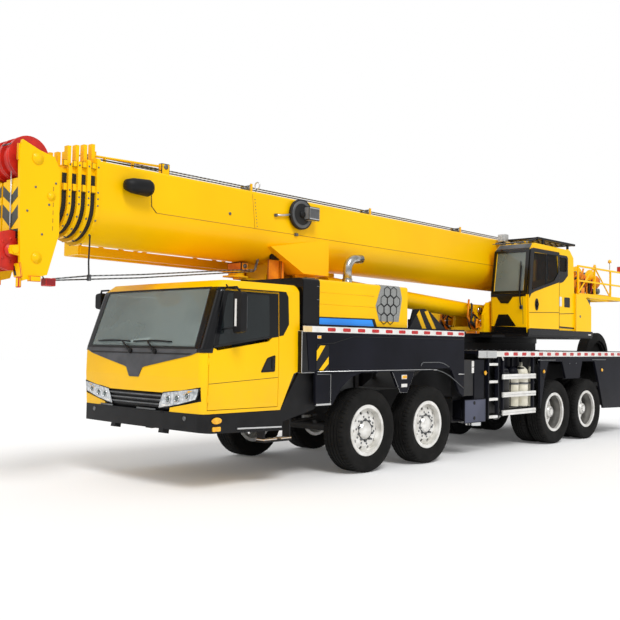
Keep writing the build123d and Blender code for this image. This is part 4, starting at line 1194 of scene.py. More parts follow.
class CRANE_OT_wheel_fittings(bpy.types.Operator):
    """Fit nuts, hub caps and valves to the wheels"""

    bl_idname = "crane.wheel_fittings"
    bl_label = "Wheel nuts and hubs"

    def execute(self, context):
        for number, x in enumerate(AXLES, start=1):
            for side_name, side in SIDES:
                body = f"wheel_{number}_{side_name}"
                steered = number < 3
                face = side * (STEERED_Y + 0.105) if steered else side * 1.054
                ring = STEERED_NUT_RING if steered else TWIN_NUT_RING
                scatter(
                    f"nuts_{number}_{side_name}",
                    nut_circle(x, face, side, ring, 10),
                    hexagon_nut(0.030 if steered else 0.040, 0.026),
                    "steel" if steered else "wheel",
                    body,
                )
                form = Form(f"hub_{number}_{side_name}")
                centre = (x, 0, TYRE_RADIUS)
                if steered:
                    y = side * STEERED_Y
                    cap = [(y + side * 0.149, 0.0), (y + side * 0.153, 0.0),
                           (y + side * 0.153, 0.050)]
                    cap += [(y + side * 0.148, 0.066), (y + side * 0.134, 0.068)]
                    form.lathe(cap, centre, 1, "wheel", 28)
                    form.lathe(
                        [(y + side * 0.106, 0.148), (y + side * 0.111, 0.146),
                         (y + side * 0.111, 0.140),
                         (y + side * 0.106, 0.137)],
                        centre, 1, "seal", 36,
                    )
                    # A ring of dark grey studs stands in for the disc's vent holes: painted shade of
                    # the openings.
                    for k in range(10):
                        angle = 2 * math.pi * (k + 0.2) / 10
                        at = (x + 0.196 * math.cos(angle), 0, TYRE_RADIUS + 0.196 * math.sin(angle))
                        form.lathe(
                            [(y + side * 0.104, 0.0), (y + side * 0.108, 0.016),
                             (y + side * 0.111, 0.012),
                             (y + side * 0.111, 0.0)],
                            at, 1, "steel", 12,
                        )
                    for k in range(8):
                        angle = 2 * math.pi * (k + 0.25) / 8
                        at = (x + 0.088 * math.cos(angle), 0, TYRE_RADIUS + 0.088 * math.sin(angle))
                        form.lathe(
                            [(y + side * 0.139, 0.0), (y + side * 0.149, 0.009),
                             (y + side * 0.152, 0.007),
                             (y + side * 0.152, 0.0)],
                            at, 1, "wheel", 6, smooth=False,
                        )
                    valve_y, valve_r = y + side * 0.078, 0.296
                else:
                    y = side * 1.040
                    cap = [(side * TWIN_DISC_Y, 0.0), (side * TWIN_HUB_Y, 0.0)]
                    cap += [(side * TWIN_HUB_Y, 0.055)]
                    cap += [(side * 1.272, 0.092), (side * 1.236, 0.116),
                            (side * TWIN_DISC_Y, 0.122)]
                    form.lathe(cap, centre, 1, "wheel", 32)
                    # Dark ring on the disc face: painted shade in the dish.
                    dish = [(side * TWIN_DISC_Y, 0.236), (side * 1.0565, 0.234)]
                    dish += [(side * 1.0565, 0.124), (side * TWIN_DISC_Y, 0.123)]
                    form.lathe(dish, centre, 1, "dish_shade", 40)
                    # Dark liner inside the rim's barrel: painted shade of the barrel wall.
                    liner = [(side * 1.296, TWIN_BARREL_RADIUS), (side * TWIN_LIP_Y, 0.312)]
                    liner += [(side * 1.064, 0.312), (side * 1.064, TWIN_BARREL_RADIUS)]
                    liner.append(liner[0])
                    form.lathe(liner, centre, 1, "dish_shade", 48)
                    for k in range(12):
                        angle = 2 * math.pi * k / 12
                        at = (x + 0.072 * math.cos(angle), 0, TYRE_RADIUS + 0.072 * math.sin(angle))
                        form.lathe(
                            [(side * 1.274, 0.0), (side * 1.284, 0.009), (side * 1.288, 0.008),
                             (side * 1.288, 0.0)],
                            at, 1, "steel", 6, smooth=False,
                        )
                    valve_y, valve_r = y + side * 0.120, 0.300
                form.tube(
                    [(x + 0.06, valve_y - side * 0.03, TYRE_RADIUS + valve_r),
                     (x + 0.06, valve_y + side * 0.02, TYRE_RADIUS + valve_r - 0.012)],
                    0.006, "exhaust", 8,
                )
                form.done(body)
        return {"FINISHED"}


# ---- Carrier cab --------------------------------------------------------------------------------
# height, middle of the front, front corner, end of the side, half width
CAB_LEVELS = (
    (0.690, 5.388, 5.330, 5.230, 1.287),
    (0.970, 5.390, 5.335, 5.235, 1.290),
    (1.400, 5.410, 5.350, 5.250, 1.300),
    (1.720, 5.400, 5.340, 5.245, 1.300),
    (2.510, 5.110, 5.065, 4.985, 1.275),
    (2.600, 4.985, 4.960, 4.890, 1.215),
)


def cab_level(z):
    """Nose, corner, end of the side and half width of the cab's skin at one height."""
    for low, high in zip(CAB_LEVELS, CAB_LEVELS[1:]):
        if z <= high[0] or high is CAB_LEVELS[-1]:
            t = (z - low[0]) / (high[0] - low[0])
            return [a + (b - a) * t for a, b in zip(low[1:], high[1:])]
    return list(CAB_LEVELS[-1][1:])


def bowed(nose, corner, reach, y):
    """How far forward the bowed front stands at y."""
    sag = nose - corner
    radius = (reach * reach + sag * sag) / (2 * sag)
    return nose - (radius - math.sqrt(max(radius * radius - y * y, 0.0)))


def cab_front(y, z):
    """How far forward the skin stands at a point of the cab's front."""
    nose, corner, side_end, half = cab_level(z)
    reach = half - 0.110
    if abs(y) <= reach:
        return bowed(nose, corner, reach, y)
    t = min((abs(y) - reach) / 0.110, 1.0)
    return side_end + (corner - side_end) * math.sqrt(max(1.0 - t ** 2.2, 0.0))


def front_patch(form, rows, finish_name, out, thick, columns=24, smooth=True):
    """A sheet on the cab's front. A row is (z, y0, y1); what lies between rows follows the skin."""
    levels = []
    for (z0, a0, b0), (z1, a1, b1) in zip(rows, rows[1:]):
        steps = max(int(abs(z1 - z0) / 0.05), 1)
        for k in range(steps):
            t = k / steps
            levels.append((z0 + (z1 - z0) * t, a0 + (a1 - a0) * t, b0 + (b1 - b0) * t))
    levels.append(rows[-1])
    verts = []
    for lift in (out, out - thick):
        for z, a, b in levels:
            for k in range(columns + 1):
                y = a + (b - a) * k / columns
                verts.append((cab_front(y, z) + lift, y, z))
    shell(form, verts, len(levels), columns + 1, finish_name, smooth)


def shell(form, verts, rows, columns, finish_name, smooth=True):
    """Closes two like grids of points, the outer one first, into a thin sheet."""
    back = rows * columns
    faces = []
    for i in range(rows - 1):
        for k in range(columns - 1):
            a = i * columns + k
            faces.append([a, a + 1, a + columns + 1, a + columns])
            faces.append([back + a, back + a + columns, back + a + columns + 1, back + a + 1])
    rim = [k for k in range(columns)]
    rim += [i * columns + columns - 1 for i in range(1, rows)]
    rim += [(rows - 1) * columns + k for k in range(columns - 2, -1, -1)]
    rim += [i * columns for i in range(rows - 2, 0, -1)]
    wide = len(faces)
    for a, b in zip(rim, rim[1:] + rim[:1]):
        faces.append([b, a, back + a, back + b])
    _, new = form.close(verts, faces, finish_name, smooth=smooth)
    for face in new[wide:]:
        face.smooth = False
    bmesh.ops.recalc_face_normals(form.mesh, faces=new)


def corner_patch(form, rows, side, finish_name, out, thick):
    """A sheet round a front corner. A row is (z, x on the side, y on the front)."""
    levels = []
    for (z0, a0, b0), (z1, a1, b1) in zip(rows, rows[1:]):
        steps = max(int(abs(z1 - z0) / 0.06), 1)
        for k in range(steps):
            t = k / steps
            levels.append((z0 + (z1 - z0) * t, a0 + (a1 - a0) * t, b0 + (b1 - b0) * t))
    levels.append(rows[-1])
    grids = []
    for lift in (out, out - thick):
        for z, x_side, y_front in levels:
            nose, corner, side_end, half = cab_level(z)
            path = [(x_side + (side_end - x_side) * k / 3, half) for k in range(3)]
            for k in range(9):
                t = 1.0 - k / 8
                path.append((side_end + (corner - side_end) * math.sqrt(max(1 - t ** 2.2, 0)),
                             half - 0.110 * (1 - t)))
            reach = half - 0.110
            for k in range(1, 5):
                y = reach + (y_front - reach) * k / 4
                path.append((bowed(nose, corner, reach, y), y))
            for k, (x, y) in enumerate(path):
                ahead = path[min(k + 1, len(path) - 1)]
                behind = path[max(k - 1, 0)]
                dx, dy = ahead[0] - behind[0], ahead[1] - behind[1]
                long = math.hypot(dx, dy) or 1.0
                nx, ny = -dy / long, dx / long
                grids.append((x + nx * lift, side * (y + ny * lift), z))
    shell(form, grids, len(levels), len(path), finish_name)


def side_patch(form, outline, side, finish_name, out, thick, soft=0.0):
    """A flat sheet on the cab's side with an outline of (x, z) points."""
    verts = []
    for lift in (out, out - thick):
        for x, z in outline:
            verts.append((x, side * (cab_level(z)[3] + lift), z))
    count = len(outline)
    faces = [list(range(count)), list(range(count, 2 * count))[::-1]]
    faces += [[(i + 1) % count, i, count + i, count + (i + 1) % count] for i in range(count)]
    _, new = form.close(verts, faces, finish_name)
    bmesh.ops.recalc_face_normals(form.mesh, faces=new)
    form.soften(new, soft)


def rounded(outline, radius, steps=4):
    """An outline with its corners rounded."""
    out = []
    count = len(outline)
    for i, corner in enumerate(outline):
        before, after = outline[i - 1], outline[(i + 1) % count]
        here = Vector((corner[0], corner[1]))
        back = Vector((before[0], before[1])) - here
        on = Vector((after[0], after[1])) - here
        cut = min(radius, back.length * 0.45, on.length * 0.45)
        start = here + back.normalized() * cut
        end = here + on.normalized() * cut
        for k in range(steps + 1):
            t = k / steps
            point = start * (1 - t) ** 2 + here * 2 * t * (1 - t) + end * t * t
            out.append((point.x, point.y))
    return out


class CRANE_OT_cab_glazing(bpy.types.Operator):
    """Glaze the carrier cab and lay its black surrounds"""

    bl_idname = "crane.cab_glazing"
    bl_label = "Carrier cab glass"

    def execute(self, context):
        glass = Form("windscreen_glass")
        front_patch(glass, [(1.757, -1.150, 1.150), (2.505, -1.125, 1.125)], "screen_glass", 0.002,
                    0.007, 30)
        glass.done("carrier")
        trim = Form("windscreen_surround")
        for side in (1, -1):
            pillar = [(1.700, 5.205, 1.125), (1.757, 5.190, 1.118), (2.508, 5.022, 1.085)]
            corner_patch(trim, pillar, side, "gloss", 0.005, 0.010)
        front_patch(trim, [(1.742, -1.15, 1.15), (1.772, -1.13, 1.13)], "seal", 0.009, 0.012, 30)
        front_patch(trim, [(2.488, -1.11, 1.11), (2.512, -1.11, 1.11)], "seal", 0.006, 0.010, 30)
        front_patch(
            trim,
            [
                (1.378, -0.098, 0.098),
                (1.388, -0.108, 0.108),
                (1.496, -0.172, 0.172),
                (1.512, -0.225, 0.225),
                (1.645, -0.965, 0.965),
                (1.668, -1.080, 1.080),
                (1.700, -1.178, 1.178),
                (1.745, -1.170, 1.170),
            ],
            "lining",
            0.009,
            0.014,
            40,
        )
        front_patch(trim, [(1.676, -1.06, 1.06), (1.690, -1.10, 1.10)], "seal", 0.015, 0.010, 40)
        trim.done("carrier")
        for side_name, side in SIDES:
            door = Form(f"door_glazing_{side_name}")
            band = [(4.098, 1.912), (5.196, 1.758), (5.022, 2.468), (4.098, 2.468)]
            side_patch(door, band, side, "gloss", 0.004, 0.008)
            pane = rounded([(4.262, 1.915), (5.122, 1.795), (4.962, 2.440), (4.262, 2.440)], 0.030)
            side_patch(door, pane, side, "dark_glass", 0.007, 0.004)
            sill = [(4.270, 1.893), (5.190, 1.764), (5.184, 1.785), (4.270, 1.912)]
            side_patch(door, sill, side, "seal", 0.012, 0.008)
            door.done(f"cab_door_{side_name}")
            fixed = Form(f"quarter_glazing_{side_name}")
            quarter = [(4.084, 1.920), (4.011, 1.930), (3.905, 2.076), (3.912, 2.430),
                       (3.955, 2.500)]
            quarter += [(5.025, 2.500), (5.025, 2.484), (4.084, 2.484)]
            side_patch(fixed, quarter, side, "gloss", 0.004, 0.008)
            fixed.done("carrier")
        return {"FINISHED"}


class CRANE_OT_cab_front(bpy.types.Operator):
    """Fit the cab's headlamps, grille, wipers and bumper parts"""

    bl_idname = "crane.cab_front"
    bl_label = "Carrier cab front"

    def execute(self, context):
        lamps = Form("headlamps")
        for side in (1, -1):
            bezel = [(1.000, 0.495, 0.500), (1.066, 0.515, 0.900), (1.140, 0.552, 1.200),
                     (1.205, 0.588, 1.228)]
            bezel += [(1.288, 1.245, 1.250)]
            rows = [(z, side * a, side * b) for z, a, b in bezel]
            front_patch(lamps, rows, "gloss", 0.006, 0.012, 26)
            inner = [(1.012, 0.512, 0.530), (1.072, 0.530, 0.885), (1.142, 0.566, 1.176),
                     (1.196, 0.600, 1.206)]
            inner += [(1.268, 1.196, 1.222)]
            rows = [(z, side * a, side * b) for z, a, b in inner]
            front_patch(lamps, rows, "lens", 0.010, 0.010, 26)
            for y, z, radius in ((0.690, 1.125, 0.050), (0.850, 1.140, 0.050),
                                 (1.035, 1.180, 0.046)):
                x = cab_front(y, z) + 0.010
                ring = [(x, radius), (x + 0.010, radius), (x + 0.010, radius * 0.82),
                        (x + 0.002, radius * 0.78)]
                ring += [(x + 0.004, 0.0)]
                lamps.lathe([(a, r) for a, r in ring], (0, side * y, z), 0, "chrome", 24)
                lamps.lathe([(x + 0.003, radius * 0.76), (x + 0.011, radius * 0.5),
                             (x + 0.014, 0.0)],
                            (0, side * y, z), 0, "glass", 20)
            mark = [(1.190, 0.965, 0.985), (1.240, 1.060, 1.125)]
            front_patch(lamps, [(z, side * a, side * b) for z, a, b in mark], "amber", 0.013, 0.004,
                        4)
            lower = [(1.030, 0.560, 0.575), (1.058, 0.575, 0.800)]
            front_patch(lamps, [(z, side * a, side * b) for z, a, b in lower], "white", 0.013,
                        0.004, 6)
        lamps.done("carrier")
        grille = Form("radiator_grille")
        front_patch(grille, [(0.972, -0.800, 0.800), (1.196, -0.742, 0.742)], "plastic", -0.030,
                    0.010, 20)
        for z, half in ((1.158, 0.720), (1.104, 0.734), (1.050, 0.748)):
            front_patch(grille,
                        [(z - 0.009, -half, half), (z, -half, half), (z + 0.009, -half, half)],
                        "steel", 0.004, 0.030, 24)
            front_patch(grille, [(z - 0.022, -half, half), (z - 0.009, -half, half)], "gloss",
                        -0.004, 0.020, 24)
        for a, b in ((-0.800, -0.500), (0.055, 0.440)):
            front_patch(grille, [(0.974, a, b), (0.994, a, b)], "steel", 0.012, 0.014, 8)
        front_patch(grille, [(0.952, -0.86, 0.60), (0.974, -0.86, 0.60)], "plastic", 0.008, 0.010,
                    20)
        grille.done("carrier")
        wipers = Form("windscreen_wipers")
        for pivot_y, tip_y, start, end in ((-0.080, -0.330, -0.940, -0.150),
                                           (0.430, 0.230, -0.080, 0.700)):
            foot = (cab_front(pivot_y, 1.705) + 0.030, pivot_y, 1.705)
            tip = (cab_front(tip_y, 1.835) + 0.030, tip_y, 1.835)
            wipers.lathe([(-0.020, 0.034), (0.014, 0.030), (0.020, 0.0)], foot, 0, "plastic", 16)
            middle = [a * 0.5 + b * 0.5 for a, b in zip(foot, tip)]
            wipers.tube([foot, middle, tip], 0.012, "plastic", 8, radii=[0.018, 0.013, 0.009])
            blade = []
            for k in range(9):
                y = start + (end - start) * k / 8
                z = 1.828 + 0.012 * math.sin(k * 0.4)
                blade.append((cab_front(y, z) + 0.016, y, z))
            wipers.tube(blade, 0.009, "plastic", 8)
        wipers.done("carrier")
        fittings = Form("bumper_fittings")
        for side in (1, -1):
            oval = [(5.113 + 0.078 * math.cos(a), 0.885 + 0.040 * math.sin(a))
                    for a in [math.pi * k / 12 for k in range(24)]]
            side_patch(fittings, oval, side, "amber", 0.012, 0.014, 0.004)
            plate = rounded([(5.050, 0.758), (5.176, 0.758), (5.176, 0.812), (5.050, 0.812)], 0.012)
            side_patch(fittings, plate, side, "amber", 0.010, 0.012)
            side_patch(fittings, [(4.780, 0.764), (4.780, 0.782), (4.020, 0.760), (4.020, 0.742)],
                       side,
                       "aluminium", 0.012, 0.016)
            fittings.lathe([(0.0, 0.030), (0.010, 0.030), (0.018, 0.018), (0.018, 0.0)],
                           (cab_front(0.980, 0.905), side * 0.980, 0.905), 0, "steel", 18)
            fittings.box((4.300, side * 1.262, 0.585), (4.060, side * 1.120, 0.602), "aluminium",
                         0.003)
            fittings.box((3.990, side * 1.262, 0.585), (3.800, side * 1.120, 0.602), "aluminium",
                         0.003)
        fittings.done("carrier")
        return {"FINISHED"}


class CRANE_OT_cab_sides(bpy.types.Operator):
    """Fit the cab's handles, seams and mirrors"""

    bl_idname = "crane.cab_sides"
    bl_label = "Carrier cab sides"

    def execute(self, context):
        for side_name, side in SIDES:
            door = Form(f"door_fittings_{side_name}")
            well = rounded([(4.154, 1.678), (4.300, 1.640), (4.412, 1.455), (4.160, 1.463)], 0.026)
            side_patch(door, well, side, "plastic", 0.006, 0.010, 0.002)
            inner = rounded([(4.172, 1.655), (4.290, 1.622), (4.376, 1.478), (4.176, 1.484)], 0.020)
            side_patch(door, inner, side, "seal", 0.008, 0.004)
            door.box((4.186, side * 1.300, 1.500), (4.228, side * 1.322, 1.640), "gloss", 0.008)
            seam = [(5.252, 1.326), (4.098, 1.386), (4.098, 1.392), (5.252, 1.332)]
            side_patch(door, seam, side, "seal", 0.0015, 0.004)
            door.done(f"cab_door_{side_name}")
        near = Form("left_mirror_housing")
        self.housing(near, 1, 4.955, 1.425, 1.590, 1.935, 2.455)
        near.done("carrier", replaces=["mirror_left"])
        far = Form("right_mirror_housing")
        self.housing(far, -1, 4.955, 1.440, 1.592, 2.270, 2.520)
        far.done("carrier", replaces=["mirror_right"])
        return {"FINISHED"}

    def housing(self, form, side, x, y0, y1, z0, z1):
        """A mirror housing on its bent arm."""
        outline = rounded([(side * y0, z0), (side * y1, z0 + 0.02), (side * y1, z1 - 0.02),
                           (side * y0, z1)],
                          0.045, 5)
        form.prism(outline, x - 0.045, x + 0.050, 0, "plastic", 0.016)
        glass = rounded([(side * (y0 + 0.018), z0 + 0.03), (side * (y1 - 0.014), z0 + 0.045),
                         (side * (y1 - 0.014), z1 - 0.045), (side * (y0 + 0.018), z1 - 0.03)], 0.03)
        form.prism(glass, x - 0.050, x - 0.043, 0, "mirror")
        middle = (y0 + y1) / 2
        top = min(z1 + 0.045, 2.545)
        arm = [
            (4.960, side * 1.245, 2.535),
            (4.975, side * (1.290), top),
            (4.975, side * (middle - 0.05), top),
            (x, side * middle, z1 - 0.02),
        ]
        form.tube(arm, 0.013, "plastic", 10)
        if z1 - z0 > 0.4:
            low = [(5.060, side * 1.290, z0 + 0.05), (x, side * (y0 + 0.03), z0 + 0.08)]
            form.tube(low, 0.011, "plastic", 10)
            form.prism([(side * (y0 + 0.04), z0 + 0.09), (side * (y0 + 0.075), z0 + 0.09),
                        (side * (y0 + 0.075), z1 - 0.10), (side * (y0 + 0.04), z1 - 0.10)],
                       x + 0.050, x + 0.054, 0, "white", 0.001)


# ---- Decks --------------------------------------------------------------------------------------
DECK_SKIN = 1.380


def tape_run(form, side, x_front, x_rear, z, height, dashes, dash_long, backing="white"):
    """A light band on the deck's edge with red dashes on it."""
    form.box((x_front, side * (DECK_SKIN - 0.010), z - height / 2),
             (x_rear, side * (DECK_SKIN + 0.006), z + height / 2), backing, 0.002, 1)
    for x in dashes:
        outline = rounded([(x + dash_long / 2, z - height * 0.30),
                           (x + dash_long / 2, z + height * 0.30),
                           (x - dash_long / 2, z + height * 0.30),
                           (x - dash_long / 2, z - height * 0.30)],
                          height * 0.24, 3)
        low, high = sorted((side * (DECK_SKIN + 0.004), side * (DECK_SKIN + 0.009)))
        form.prism(outline, low, high, 1, "red_lens")


def lip(form, points, side, width, lift, finish_name, y=DECK_SKIN):
    """A thin raised edge along (x, z) points on a skirt."""
    path = [(x, side * (y + lift * 0.3), z) for x, z in points]
    form.tube(path, width / 2, finish_name, 6)


class CRANE_OT_deck_markings(bpy.types.Operator):
    """Lay the marking tape, reflectors and lamps along both decks"""

    bl_idname = "crane.deck_markings"
    bl_label = "Deck markings and lamps"

    def execute(self, context):
        tape = context.scene.crane_trim.tape_height
        form = Form("deck_markings")
        for side in (1, -1):
            front = [3.175 - 0.3155 * k for k in range(11)]
            tape_run(form, side, 3.560, -0.078, 2.024, tape * 1.35, front, 0.160)
            form.box((3.726, side * 1.372, 1.984), (3.560, side * 1.388, 2.064), "beige", 0.003)
            rear = [-1.407 - 0.308 * k for k in range(20)]
            tape_run(form, side, -1.090, -7.515, 1.700, tape * 1.6, rear, 0.150)
            form.box((-0.515, side * 1.370, 1.632), (-1.090, side * 1.387, 1.752), "aluminium",
                     0.004)
            form.box((-0.760, side * 1.386, 1.640), (-0.775, side * 1.389, 1.745), "steel", 0.001)
            for x in (-2.755, -5.220):
                form.lathe([(side * 1.378, 0.034), (side * 1.392, 0.034), (side * 1.400, 0.022),
                            (side * 1.400, 0.0)], (x, 0, 1.375), 1, "amber", 18)
            form.lathe([(side * 1.366, 0.036), (side * 1.380, 0.036), (side * 1.388, 0.022),
                        (side * 1.388, 0.0)], (-0.744, 0, 1.378), 1, "amber", 18)
            form.box((1.468, side * 1.372, 1.318), (1.598, side * 1.392, 1.384), "amber", 0.010)
            form.box((1.460, side * 1.372, 1.198), (1.604, side * 1.390, 1.250), "white", 0.008)
            form.box((3.456, side * 1.372, 1.900), (3.382, side * 1.388, 1.940), "amber", 0.004)
            for z0, z1 in ((1.380, 1.474), (1.484, 1.582)):
                tower_x = (-0.385, -0.520) if side > 0 else (-0.690, -0.530)
                form.box((tower_x[0], side * 1.326, z0), (tower_x[1], side * 1.338, z1), "white",
                         0.004)
        form.done("carrier")
        return {"FINISHED"}


class CRANE_OT_deck_edges(bpy.types.Operator):
    """Raise the skirts' lips, seams, hazard patches and steps"""

    bl_idname = "crane.deck_edges"
    bl_label = "Skirt lips, patches and steps"

    def execute(self, context):
        form = Form("skirt_edges")
        for side in (1, -1):
            lip(form, [(3.440, 1.453), (0.864, 1.451), (0.700, 1.446)], side, 0.020, 0.020,
                "aluminium")
            arch = [(0.700, 1.446), (0.560, 1.420), (0.440, 1.385), (0.302, 1.332), (0.120, 1.240),
                    (-0.060, 1.140)]
            lip(form, arch, side, 0.014, 0.014, "steel")
            hump = [(1.116, 1.510), (1.095, 1.545), (1.050, 1.566), (0.625, 1.566), (0.500, 1.545),
                    (0.350, 1.490)]
            lip(form, hump, side, 0.016, 0.016, "steel")
            lip(form, [(0.080, 1.372), (-0.075, 1.368)], side, 0.018, 0.018, "aluminium")
            bevel = [(3.463, 1.819), (3.132, 1.841), (2.722, 1.934), (1.558, 1.936),
                     (-0.070, 1.936)]
            lip(form, bevel, side, 0.010, 0.010, "seal")
            ledge = [(3.440, side * 1.300), (3.440, side * 1.400), (0.800, side * 1.400),
                     (0.800, side * 1.300)]
            form.prism(ledge, 1.440, 1.452, 2, "navy")
            patch = [(3.470, 1.480), (3.470, 1.812), (3.224, 1.812), (3.224, 1.460)]
            low, high = sorted((side * 1.378, side * 1.384))
            form.prism(patch, low, high, 1, "gloss")
            low, high = sorted((side * 1.380, side * 1.387))
            for bar in ([(3.466, 1.600), (3.466, 1.735), (3.395, 1.806), (3.300, 1.806)],
                        [(3.340, 1.470), (3.420, 1.475), (3.230, 1.655), (3.230, 1.560)]):
                form.prism(bar, low, high, 1, "yellow")
            form.box((3.180, side * 1.378, 1.010), (3.165, side * 1.384, 1.420), "seal", 0.002)
            form.tube([(3.456, side * 1.386, 1.422), (3.176, side * 1.386, 1.418)], 0.008, "steel",
                      6)
            form.box((3.462, side * 1.360, 1.000), (3.168, side * 1.388, 1.026), "aluminium", 0.004)
            form.box((3.740, side * 1.290, 1.440), (3.480, side * 1.372, 2.000), "gloss", 0.006)
            tongue = [(1.820, 1.430), (1.625, 1.120), (1.450, 1.115), (1.270, 1.430)]
            low, high = sorted((side * 1.374, side * 1.383))
            form.prism(tongue, low, high, 1, "navy", 0.002)
            for x0, x1 in ((-2.495, -2.790), (-3.480, -3.640)):
                form.tube([(x0, side * 1.384, 1.225 if x0 < -3 else 1.560),
                           (x1, side * 1.384, 1.225)], 0.004,
                          "seal", 5)
            for x0, x1 in ((-2.530, -3.195), (-4.750, -5.400)):
                form.tube([(x0, side * 1.385, 1.588), (x1, side * 1.385, 1.588)], 0.010, "steel", 6)
            for x in (-3.790, -4.060):
                form.lathe([(side * 1.379, 0.014), (side * 1.386, 0.014), (side * 1.390, 0.0)],
                           (x, 0, 1.520), 1,
                           "steel", 10)
        form.done("carrier")
        guard = Form("side_guard_and_bottles")
        for side in (1, -1):
            for z in (1.300, 0.985, 0.670):
                guard.box((-1.345, side * 1.331, z - 0.044), (-2.492, side * 1.366, z + 0.044),
                          "white", 0.006)
                guard.tube([(-1.350, side * 1.368, z), (-2.487, side * 1.368, z)], 0.004,
                           "aluminium", 5)
            for z in (0.620, 0.920, 1.220, 1.520):
                guard.box((-0.880, side * 1.286, z - 0.022), (-1.170, side * 1.364, z + 0.022),
                          "white", 0.005)
            guard.tube([(-1.255, side * 1.370, 1.700), (-1.330, side * 1.370, 1.590)], 0.014,
                       "white", 6)
            for x, radius, top in ((-1.925, 0.123, 1.400), (-2.245, 0.132, 1.480),
                                   (-2.560, 0.085, 1.400)):
                high = top - radius
                bottle = [(0.735, 0.0), (0.735, radius * 0.8), (0.765, radius), (high, radius)]
                bottle += [(high + radius * 0.5, radius * 0.86),
                           (high + radius * 0.86, radius * 0.5)]
                bottle += [(high + radius, 0.030), (high + radius + 0.070, 0.026),
                           (high + radius + 0.070, 0.0)]
                guard.lathe(bottle, (x, side * 1.190, 0), 2, "cream", 28)
                guard.lathe([(1.150, radius + 0.002), (1.150, radius + 0.008),
                             (1.185, radius + 0.008),
                             (1.185, radius + 0.002)], (x, side * 1.190, 0), 2, "steel", 28)
            # A black cylinder over the packed bottle at x -1.6 and a black sheet behind the bottles:
            # painted shade under the deck.
            dark = [(0.735, 0.0), (0.735, 0.122), (1.360, 0.122), (1.430, 0.100), (1.482, 0.0)]
            guard.lathe(dark, (-1.600, side * 1.190, 0), 2, "chassis", 20)
            guard.box((-1.300, side * 0.980, 0.640), (-2.600, side * 1.020, 1.640), "chassis")
        guard.done("carrier")
        return {"FINISHED"}


class CRANE_OT_deck_fittings(bpy.types.Operator):
    """Fit the outrigger end plates, deck treads and the hatched plate"""

    bl_idname = "crane.deck_fittings"
    bl_label = "Outrigger plates and treads"

    def execute(self, context):
        for end_name, rear_x in (("front", -0.765), ("rear", -7.190)):
            for side_name, side in SIDES:
                form = Form(f"beam_end_{end_name}_{side_name}")
                low, high = sorted((side * 1.366, side * 1.372))
                edge = [(rear_x + 0.012, 0.567), (rear_x + 0.628, 0.567), (rear_x + 0.628, 0.933),
                        (rear_x + 0.012, 0.933)]
                inner = [(rear_x + 0.030, 0.585), (rear_x + 0.610, 0.585), (rear_x + 0.610, 0.915),
                         (rear_x + 0.030, 0.915)]
                form.ring_strip(edge, inner, low, high, 1, "slate")
                form.prism(inner, low, high - side * 0.002 if side > 0 else high, 1, "slate", 0.001)
                for x, z in ((rear_x + 0.350, 0.633), (rear_x + 0.350, 0.885)):
                    form.lathe([(side * 1.370, 0.030), (side * 1.376, 0.030), (side * 1.376, 0.0)],
                               (x, 0, z), 1,
                               "seal", 16)
                form.done(f"outrigger_beam_{end_name}_{side_name}")
        treads = Form("deck_treads")
        for y in (-0.55, 0.55):
            treads.box((-5.480, y - 0.300, 1.749),
                       (-7.480, y + 0.300 if y < 0 else y + 0.020, 1.756), "steel", 0.002)
        for k in range(14):
            x = -0.640 - 0.060 * k
            treads.box((x, -1.300, 1.749), (x - 0.020, 1.300, 1.757), "steel", 0.001, 1)
        treads.done("carrier")
        plates = Form("hatched_plates")
        for side in (1, -1):
            outline = [(0.935, 2.095), (0.812, 2.250), (0.675, 2.398), (0.518, 2.419),
                       (0.347, 2.361), (-0.055, 2.110)]
            low, high = sorted((side * 1.013, side * 1.019))
            plates.prism(outline, low, high, 1, "gloss")
            low, high = sorted((side * 1.017, side * 1.023))
            for bar in ([(0.740, 2.320), (0.672, 2.392), (0.480, 2.098), (0.590, 2.098)],
                        [(0.535, 2.376), (0.445, 2.396), (0.205, 2.098), (0.315, 2.098)]):
                plates.prism(bar, low, high, 1, "yellow")
        plates.done("carrier")
        return {"FINISHED"}


# ---- Engine cover -------------------------------------------------------------------------------
def hexagons(x0, x1, z0, z1, cell):
    """Middles of a honeycomb over a field."""
    middles = []
    row = 0
    z = z0
    while z < z1:
        x = x0 + (cell * 0.866 if row % 2 else 0.0)
        while x < x1:
            middles.append((x, z))
            x += cell * 1.732
        z += cell * 1.5
        row += 1
    return middles


